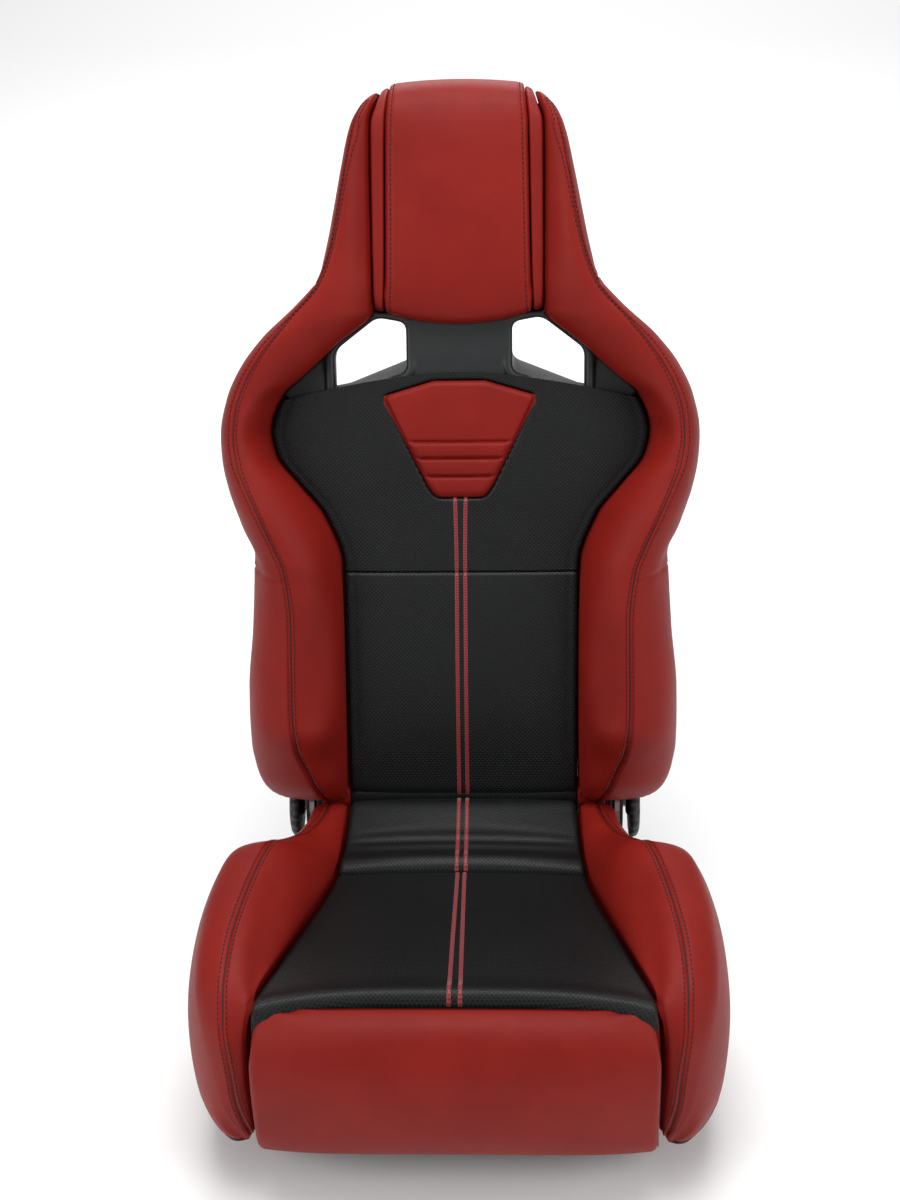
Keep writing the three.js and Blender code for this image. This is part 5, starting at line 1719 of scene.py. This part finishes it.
@dataclass
class Cushion:
    """The seat cushion: two black panels, the red front roll, and a red bolster on each side."""

    finishes: Finishes
    sizes: CushionSizes = field(default_factory=CushionSizes)
    stitching: Stitching = field(default_factory=Stitching)
    stripes: TwinStripes = field(default_factory=TwinStripes)
    front_bow: float = 22
    piping: float = 1.8
    # radius of the black cord in the crest seam's groove, a dark cord for the groove's shade: painted shade
    seam: float = 0.9

    def build(self) -> None:
        """Builds the panels, the roll and the bolsters."""
        s = self.sizes
        self._panel("cushion_rear_pad", s.rear, s.cross_seam + s.gap / 2, 110, 3.5)
        self._panel("cushion_front_pad", s.cross_seam - s.gap / 2, s.front_seam + s.gap, 150, 4.5)
        self._roll()
        self._bolsters()

    def _panel(self, name: str, rear: float, front: float, rows: int, crown: float) -> None:
        """A black panel: its top is a profile along the seat with a crown across it.

        Args:
            name: the CAD node that it stands for.
            rear: the y of its rear edge.
            front: the y of its front edge, which the front panel bows out by the fourth power across.
            rows: how many rows it has.
            crown: how far its fullest place rises.
        """
        s = self.sizes
        v, across = np.linspace(0, 1, rows)[:, None], np.linspace(-1, 1, 130)[None, :]
        is_front = front < s.cross_seam - 1
        bow = (self.front_bow if is_front else 0) * across**4
        y = mix(rear, front, v) - bow * v**3
        x = across * (s.seam(y) - s.gap)
        top = points_of(x, y, s.top(y) + 4 * (1 - across**2))
        top = padded_front(top, UP, crown)
        x, y, z = np.moveaxis(top, -1, 0)
        side = (1 - np.abs(across)) * (s.seam(y) - s.gap)
        from_cross = np.abs(y - s.cross_seam)
        fall = edge_roll(side, 6) + edge_roll(from_cross, 7 if not is_front else 5)
        if is_front:
            from_front = y - (front - bow)
            fall = fall + 5.5 * np.exp(-(((from_front - 16) / 13) ** 2)) + 1.3 * edge_roll(from_front, 13)
        else:
            fall = fall + 5 * np.exp(-(((from_cross - 15) / 12) ** 2)) - 1.5 * ease((10 - (rear - y)) / 10) * 6
        top = points_of(x, y, z + fall)
        floor = np.where(y > 20, np.minimum(mix(s.bottom, 158, (y - 20) / 20), top[..., 2] - 8), s.bottom)
        floor = mix(np.maximum(top[..., 2] - 9, floor), floor, ease((y - s.front_seam - 4) / 8))
        shape = sheet_shape(top, points_of(x, y, floor))
        shape.uv = np.tile(cover_map(x, y), (2, 1))
        piece = shape.to_object(f"{name}_cover", self.finishes.black)
        place(piece, Body.BASE, Slot.BLACK, (name,), 0.75)
        bands = self._stripes(top, name)
        if not is_front:
            for soft in (piece, bands):
                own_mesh(soft)

    def _stripes(self, top: Grid, name: str) -> Piece:
        """Lays the two stripes on a panel."""
        rows = np.arange(1, top.shape[0] - 1, dtype=float)
        pitch = top[top.shape[0] // 2, -1, 0] / ((top.shape[1] - 1) / 2)
        shape = self.stripes.lay(top, UP, rows, pitch, 1, -np.inf, np.inf)
        return place(shape.to_object(f"{name}_stripes", self.finishes.stripe), Body.BASE, Slot.RED)

    def _roll(self) -> None:
        """The front roll: a closed side profile carried across, swept back and dropped towards its ends."""
        s = self.sizes
        top, belly, rear = 244.0, 165.6, s.roll_front + s.roll_thickness
        seam = (s.front_seam - s.gap, top)
        nose = [seam, (-345, 243.5), (-362, 236), (-376, 218), (-383.5, 190), (s.roll_front, belly)]
        nose += [(-383.5, 134), (-379, 104), (-370, 83), (-357, 71), (rear - 6, 66)]
        front = spline(nose, 96)
        heel = np.array([(rear, 74), (rear, 130), (rear, 190), (-331, 232)], float)
        ring = np.concatenate([front, heel])
        across = np.sin(np.linspace(-np.pi / 2, np.pi / 2, 130)) * 0.35 + np.linspace(-1, 1, 130) * 0.65
        a = across[:, None]
        y, z = ring[:, 0][None, :], ring[:, 1][None, :]
        low = np.clip((top - z) / 40, 0, 1)
        half = mix(s.seam_half - s.gap, s.roll_half - s.gap, low)
        y_swept = y + np.where(y < rear - 2, 14 * a**4, 0)
        rings = points_of(a * half, y_swept, z - 5 * a**4)
        rings[:, :96] = padded_front(rings[:, :96], np.array([0, -1, 0]), 5)
        out = normals(rings, rings - rings.mean(axis=(0, 1)), True)
        from_end = (1 - np.abs(a)) * s.roll_half
        near = np.arange(rings.shape[1])[None, :]
        front_only = np.clip(np.minimum(near, 99 - near) / 4, 0, 1)
        travel = edge_roll(from_end, 9) * front_only + groove(arc_length(rings), 3.2, 4) * (near < 60)
        shape = loft_shape(rings + out * travel[..., None])
        piece = shape.to_object("cushion_roll_cover", self.finishes.red, 60)
        place(piece, Body.BASE, Slot.RED, ("cushion_front_roll",), 0.8)

    def _stations(self) -> Grid:
        """Control points of the left bolster's rings.

        Rows run from the rear to the underside of the nose. Columns are the hidden inner foot, the
        inner seam, the crest, the upper edge, the belly, the skirt and the skirt's inner edge.
        """
        rows = [
            ((129, 41, 160), (129, 41, 198), (150, 41, 211), (167, 41, 204),
             (172, 41, 184), (168, 41, 158), (140, 41, 158)),
            ((129, 22, 140), (129.5, 22, 213), (153, 22, 222), (171, 22, 214),
             (176, 22, 184), (172, 22, 146), (142, 22, 138)),
            ((130, -7, 136), (130.5, -7, 212), (160, -7, 224), (178, -7, 214),
             (184, -7, 182), (180, -7, 142), (150, -7, 136)),
            ((134, -43, 136), (133.5, -43, 206), (173, -43, 233), (191, -43, 219),
             (199, -43, 184), (195, -43, 140), (160, -43, 136)),
            ((138, -86, 136), (138, -86, 204), (187, -86, 257), (214, -86, 241),
             (229, -86, 190), (226, -86, 128), (204, -86, 126)),
            ((147, -122, 136), (147, -122, 209), (200, -122, 279), (243, -118, 261),
             (262, -114, 172), (254, -114, 84), (232, -114, 80)),
            ((162, -179, 136), (162, -179, 219), (214, -179, 277), (257, -175, 257),
             (275, -170, 160), (268, -168, 52), (226, -168, 52)),
            ((180, -247, 136), (180, -247, 230), (225, -247, 268), (262, -240, 246),
             (278, -228, 150), (270, -224, 54), (216, -224, 54)),
            ((192, -292, 136), (192, -294, 238), (228, -300, 254), (261, -285, 232),
             (276, -268, 142), (267, -262, 56), (206, -262, 56)),
            ((204, -300, 132), (199, -324, 238), (227.5, -326, 235), (256, -311, 212),
             (269, -296, 130), (258, -286, 58), (206, -280, 58)),
            ((204, -300, 126), (203.8, -337, 218), (226, -342, 212), (248, -330, 189),
             (258, -320, 118), (246, -307, 60), (206, -294, 60)),
            ((204, -300, 118), (203.8, -344, 180), (222, -350, 179), (238, -344, 158),
             (246, -338, 106), (235, -321, 62), (206, -300, 62)),
            ((204, -300, 106), (203.8, -346, 142), (219, -351.5, 136), (231, -349, 124),
             (236, -346, 98), (227, -331, 64), (206, -304, 66)),
            ((204, -302, 92), (203.8, -342, 110), (214, -347, 105), (222, -347, 99),
             (226, -345, 82), (220, -336, 66), (206, -308, 68)),
            ((204, -306, 76), (203.8, -334, 80), (209, -339, 78), (213, -340, 75),
             (216, -339, 72), (213, -334, 66), (206, -316, 68)),
        ]
        return np.array(rows, float)

    def _bolsters(self) -> None:
        """The side bolsters: rings that fan round the front corner, seamed along the crest."""
        hidden, inner, crest, edge, belly, skirt, tuck = np.moveaxis(catmull_rom(self._stations(), 18), 1, 0)
        lift = lambda a, b, t, top: points_of(mix(a, b, t)[:, 0], mix(a, b, t)[:, 1], top)
        slope = bend(inner, lift(inner, crest, 0.22, crest[:, 2] - 1), crest, steps(34))
        over = bend(crest, lift(crest, edge, 0.9, crest[:, 2] - 3), edge, steps(16))
        flank = bend(edge, lift(edge, belly, 1.0, mix(edge[:, 2], belly[:, 2], 0.4)), belly, steps(22))
        under = bend(belly, lift(belly, skirt, 0.1, skirt[:, 2] + 14), skirt, steps(18))
        outside = np.concatenate([over[:, :-1], flank[:, :-1], under], axis=1)
        slope = padded_front(slope, np.array([-0.5, 0, 1]), 5)
        outside = padded_front(outside, np.array([1, -0.4, 0.3]), 4)
        rings = [slope[:, :-1], outside[:, :-1], line(skirt, tuck, 4), line(tuck, hidden, 4), line(hidden, inner, 5)]
        rings = np.concatenate(rings, axis=1)
        crest_at, side_end = 33, 33 + outside.shape[1] - 1
        out = outward(rings)
        arc = arc_length(rings)
        from_crest = arc - arc[:, crest_at : crest_at + 1]
        column = np.arange(rings.shape[1])[None, :]
        travel = crest_seam(from_crest, 0.5) + groove(arc, 3.0, 4.0)
        rings = rings + out * (travel * (column <= side_end))[..., None]
        skin, sewn = loft_shape(rings), SewnSkin(rings, arc, crest_at, (10, 8))
        stitches = sewn.stitches(self.stitching)
        # painted shade: a black cord along the crest seam's groove, where the seam's shade falls
        seam = swept(*sewn.run(crest_at), round_section(self.seam))
        piping = swept(*sewn.run(side_end - 3.0), round_section(self.piping))
        made = self.finishes
        groups = (
            (skin, Pair("cushion_bolster_cover", made.red, Slot.RED, ("cushion_bolster",), 0.75, 60)),
            (stitches, Pair("cushion_bolster_stitches", made.thread, Slot.RED)),
            (piping, Pair("cushion_bolster_piping", made.trim, Slot.BLACK, sharp=60)),
            (seam, Pair("cushion_bolster_seam", made.trim, Slot.BLACK, sharp=60)),
        )
        for side in Side:
            for shape, pair in groups:
                pair.place_side(shape, side, Body.BASE)


# ---------------------------------------------------------------- recliner, levers and base


@dataclass
class Recliner:
    """Fluted plastic handwheels that drive the back's angle."""

    finishes: Finishes
    place: BackPlace
    radius: float = 41
    inner: float = 187.4
    thickness: float = 15
    bore: float = 6.4
    flutes: int = 18

    def build(self) -> None:
        """Builds both wheels by turning a profile and pinching its rim into flutes."""
        a, b = self.inner, self.inner + self.thickness
        profile = [(self.bore, a + 10.4), (self.bore, a), (13, a), (15, a + 1.5), (17, a + 3), (35, a + 3)]
        r = self.radius
        profile += [(r - 2, a + 3.4), (r - 0.4, a + 5), (r, a + 7.5), (r - 1, a + 11), (r - 4, b - 1.2)]
        profile += [(r - 8, b - 0.2), (r - 12, b)]
        profile += [(26, b - 1.6), (12, b - 2), (4, b - 2), (0.4, b - 2), (0.4, a + 10.4)]
        path = np.array(profile, float)
        angle = np.linspace(0, 2 * np.pi, 180, endpoint=False)[None, :]
        rim = ease((path[:, :1] - 34) / 5)
        radius = path[:, :1] * (1 - 0.055 * rim * (0.5 + 0.5 * np.cos(self.flutes * angle)) ** 2)
        y = self.place.hinge_y + radius * np.cos(angle)
        z = self.place.hinge_z + radius * np.sin(angle)
        shape = ring_shape(points_of(path[:, 1:] + 0 * angle, y, z))
        Pair("handwheel_grip", self.finishes.plastic, Slot.PLASTIC, ("handwheel",), sharp=50).place(shape, Body.DRIVE)


@dataclass
class FoldLevers:
    """Rounded plastic paddles that release the folding back."""

    finishes: Finishes
    place: BackPlace
    inner: float = 234.4
    thickness: float = 5
    depth: float = -9
    top: float = 150
    length: float = 72

    def build(self) -> None:
        """Builds both levers from an outline that is inset towards its two faces."""
        high, low = np.linspace(0, np.pi, 24), np.linspace(np.pi, 2 * np.pi, 24)
        rings = []
        t = self.thickness
        for x, inset in ((0, 1.3), (0.5, 0.4), (1.3, 0), (t - 1.3, 0), (t - 0.5, 0.4), (t, 1.3)):
            upper = points_of(self.depth - (11 - inset) * np.cos(high), self.top + (11 - inset) * np.sin(high))
            foot = self.top - self.length + (8 - inset) * np.sin(low)
            end = points_of(self.depth - 2 - (8 - inset) * np.cos(low), foot)
            path = np.concatenate([upper, end])
            rings.append(points_of(self.inner + x, path[:, 0], path[:, 1]))
        pair = Pair("fold_lever_paddle", self.finishes.plastic, Slot.PLASTIC, ("fold_lever",), sharp=50)
        pair.place(self.place.shape(loft_shape(np.stack(rings))), Body.LEVER_LEFT, Body.LEVER_RIGHT)


@dataclass
class Mechanism:
    """The carried-over steel parts: finishes by name, and broken edges on the plates."""

    finishes: Finishes
    bevel: float = 0.5

    def build(self) -> None:
        """Dresses every CAD node that is still shown."""
        groups = (
            (("recliner_disc", "bracket_bolt", "shell_screw", "cross_shaft", "lever_shaft"), self.finishes.zinc),
            (("lumbar_mat", "lever_spring"), self.finishes.spring),
        )
        for name, node in frame["nodes"].items():
            if node.hide_render:
                continue
            finish = next((made for names, made in groups if name.startswith(names)), self.finishes.paint)
            node.data.materials.clear()
            node.data.materials.append(finish)
            if not name.startswith(("lumbar_mat", "lever_spring")):
                edge = node.modifiers.new("broken_edge", "BEVEL")
                edge.width = self.bevel * MM
                edge.segments = 2
                edge.limit_method = "ANGLE"
                edge.angle_limit = math.radians(50)
            node.data.shade_smooth()
            node.data.set_sharp_from_angle(angle=math.radians(40))
            log.info("%s takes %s", name, finish.name)


# ---------------------------------------------------------------- studio


@dataclass
class Studio:
    """A pale floor, soft boxes and the camera."""

    camera_at: tuple[float, float, float] = (0.0654, -1.6794, 1.5152)
    elevation: float = 31.0
    heading: float = 2.5
    roll: float = -1.52
    lens: float = 56.2

    def build(self) -> None:
        """Builds the stage."""
        self._floor()
        self._world()
        lights = (
            ("overhead", (0.0, -0.2, 2.9), (0.0, -0.1, 0.3), 1.6, 50),
            ("key_left", (-1.9, -1.5, 1.7), (0.0, 0.0, 0.5), 1.1, 22),
            ("key_right", (2.0, -1.3, 1.7), (0.0, 0.0, 0.5), 1.1, 21),
            ("rear", (0.0, 2.6, 2.4), (0.0, 0.0, 0.6), 2.0, 34),
            ("backdrop", (0.0, 4.5, 4.0), (0.0, 5.5, 0.0), 3.0, 120),
        )
        for name, spot, target, size, power in lights:
            self._softbox(name, spot, target, size, power)
        self._camera()

    def _floor(self) -> None:
        """A wide pale floor."""
        mesh = bpy.data.meshes.new("floor")
        mesh.from_pydata([(-9, -9, 0), (9, -9, 0), (9, 9, 0), (-9, 9, 0)], [], [(0, 1, 2, 3)])
        floor = bpy.data.objects.new("floor", mesh)
        bpy.context.scene.collection.objects.link(floor)
        material, tree = new_material("pale_floor")
        add_shader(tree, {"Base Color": linear("#f4f4f4"), "Roughness": 0.85, "Specular IOR Level": 0.1}, {})
        mesh.materials.append(material)

    def _world(self) -> None:
        """An even white surround."""
        world = bpy.data.worlds.new("studio")
        world.use_nodes = True
        background = world.node_tree.nodes["Background"]
        background.inputs["Color"].default_value = linear("#ffffff")
        background.inputs["Strength"].default_value = 0.42
        bpy.context.scene.world = world

    def _softbox(
        self, name: str, spot: tuple[float, float, float], target: tuple[float, float, float], size: float, power: float
    ) -> None:
        """A square area light that faces a target."""
        light = bpy.data.lights.new(name, "AREA")
        light.size = size
        light.energy = power
        box = bpy.data.objects.new(name, light)
        box.location = spot
        box.rotation_euler = (Vector(target) - Vector(spot)).to_track_quat("-Z", "Y").to_euler()
        bpy.context.scene.collection.objects.link(box)

    def _camera(self) -> None:
        """The camera, from its elevation, heading and roll."""
        e, turn, roll = (math.radians(v) for v in (self.elevation, self.heading, self.roll))
        back = Vector((math.sin(turn) * math.cos(e), -math.cos(turn) * math.cos(e), math.sin(e)))
        right = (-back).cross(Vector((0, 0, 1))).normalized()
        up = right.cross(-back)
        across = math.cos(roll) * right + math.sin(roll) * up
        rise = math.cos(roll) * up - math.sin(roll) * right
        data = bpy.data.cameras.new("camera")
        data.lens = self.lens
        data.sensor_width = 36
        camera = bpy.data.objects.new("camera", data)
        turned = Matrix((across, rise, back)).transposed().to_4x4()
        camera.matrix_world = Matrix.Translation(Vector(self.camera_at)) @ turned
        bpy.context.scene.collection.objects.link(camera)
        bpy.context.scene.camera = camera
        bpy.context.scene.view_settings.view_transform = "Standard"


def main() -> None:
    """Builds the seat."""
    hinge = next(joint for joint in frame["joints"] if joint["name"] == "recline")["pos_m"]
    leaning = BackPlace(hinge[1] / MM, hinge[2] / MM)
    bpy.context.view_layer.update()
    finishes = Finishes()
    for part in (
        BackPanels(finishes, leaning),
        SideCovers(finishes, leaning),
        Headrest(finishes, leaning),
        SlotSurround(finishes, leaning),
        RearShell(finishes, leaning),
        Cushion(finishes),
        Recliner(finishes, leaning),
        FoldLevers(finishes, leaning),
        Mechanism(finishes),
        Studio(),
    ):
        log.info("building %s", type(part).__name__)
        part.build()


if __name__ == "__main__":
    main()
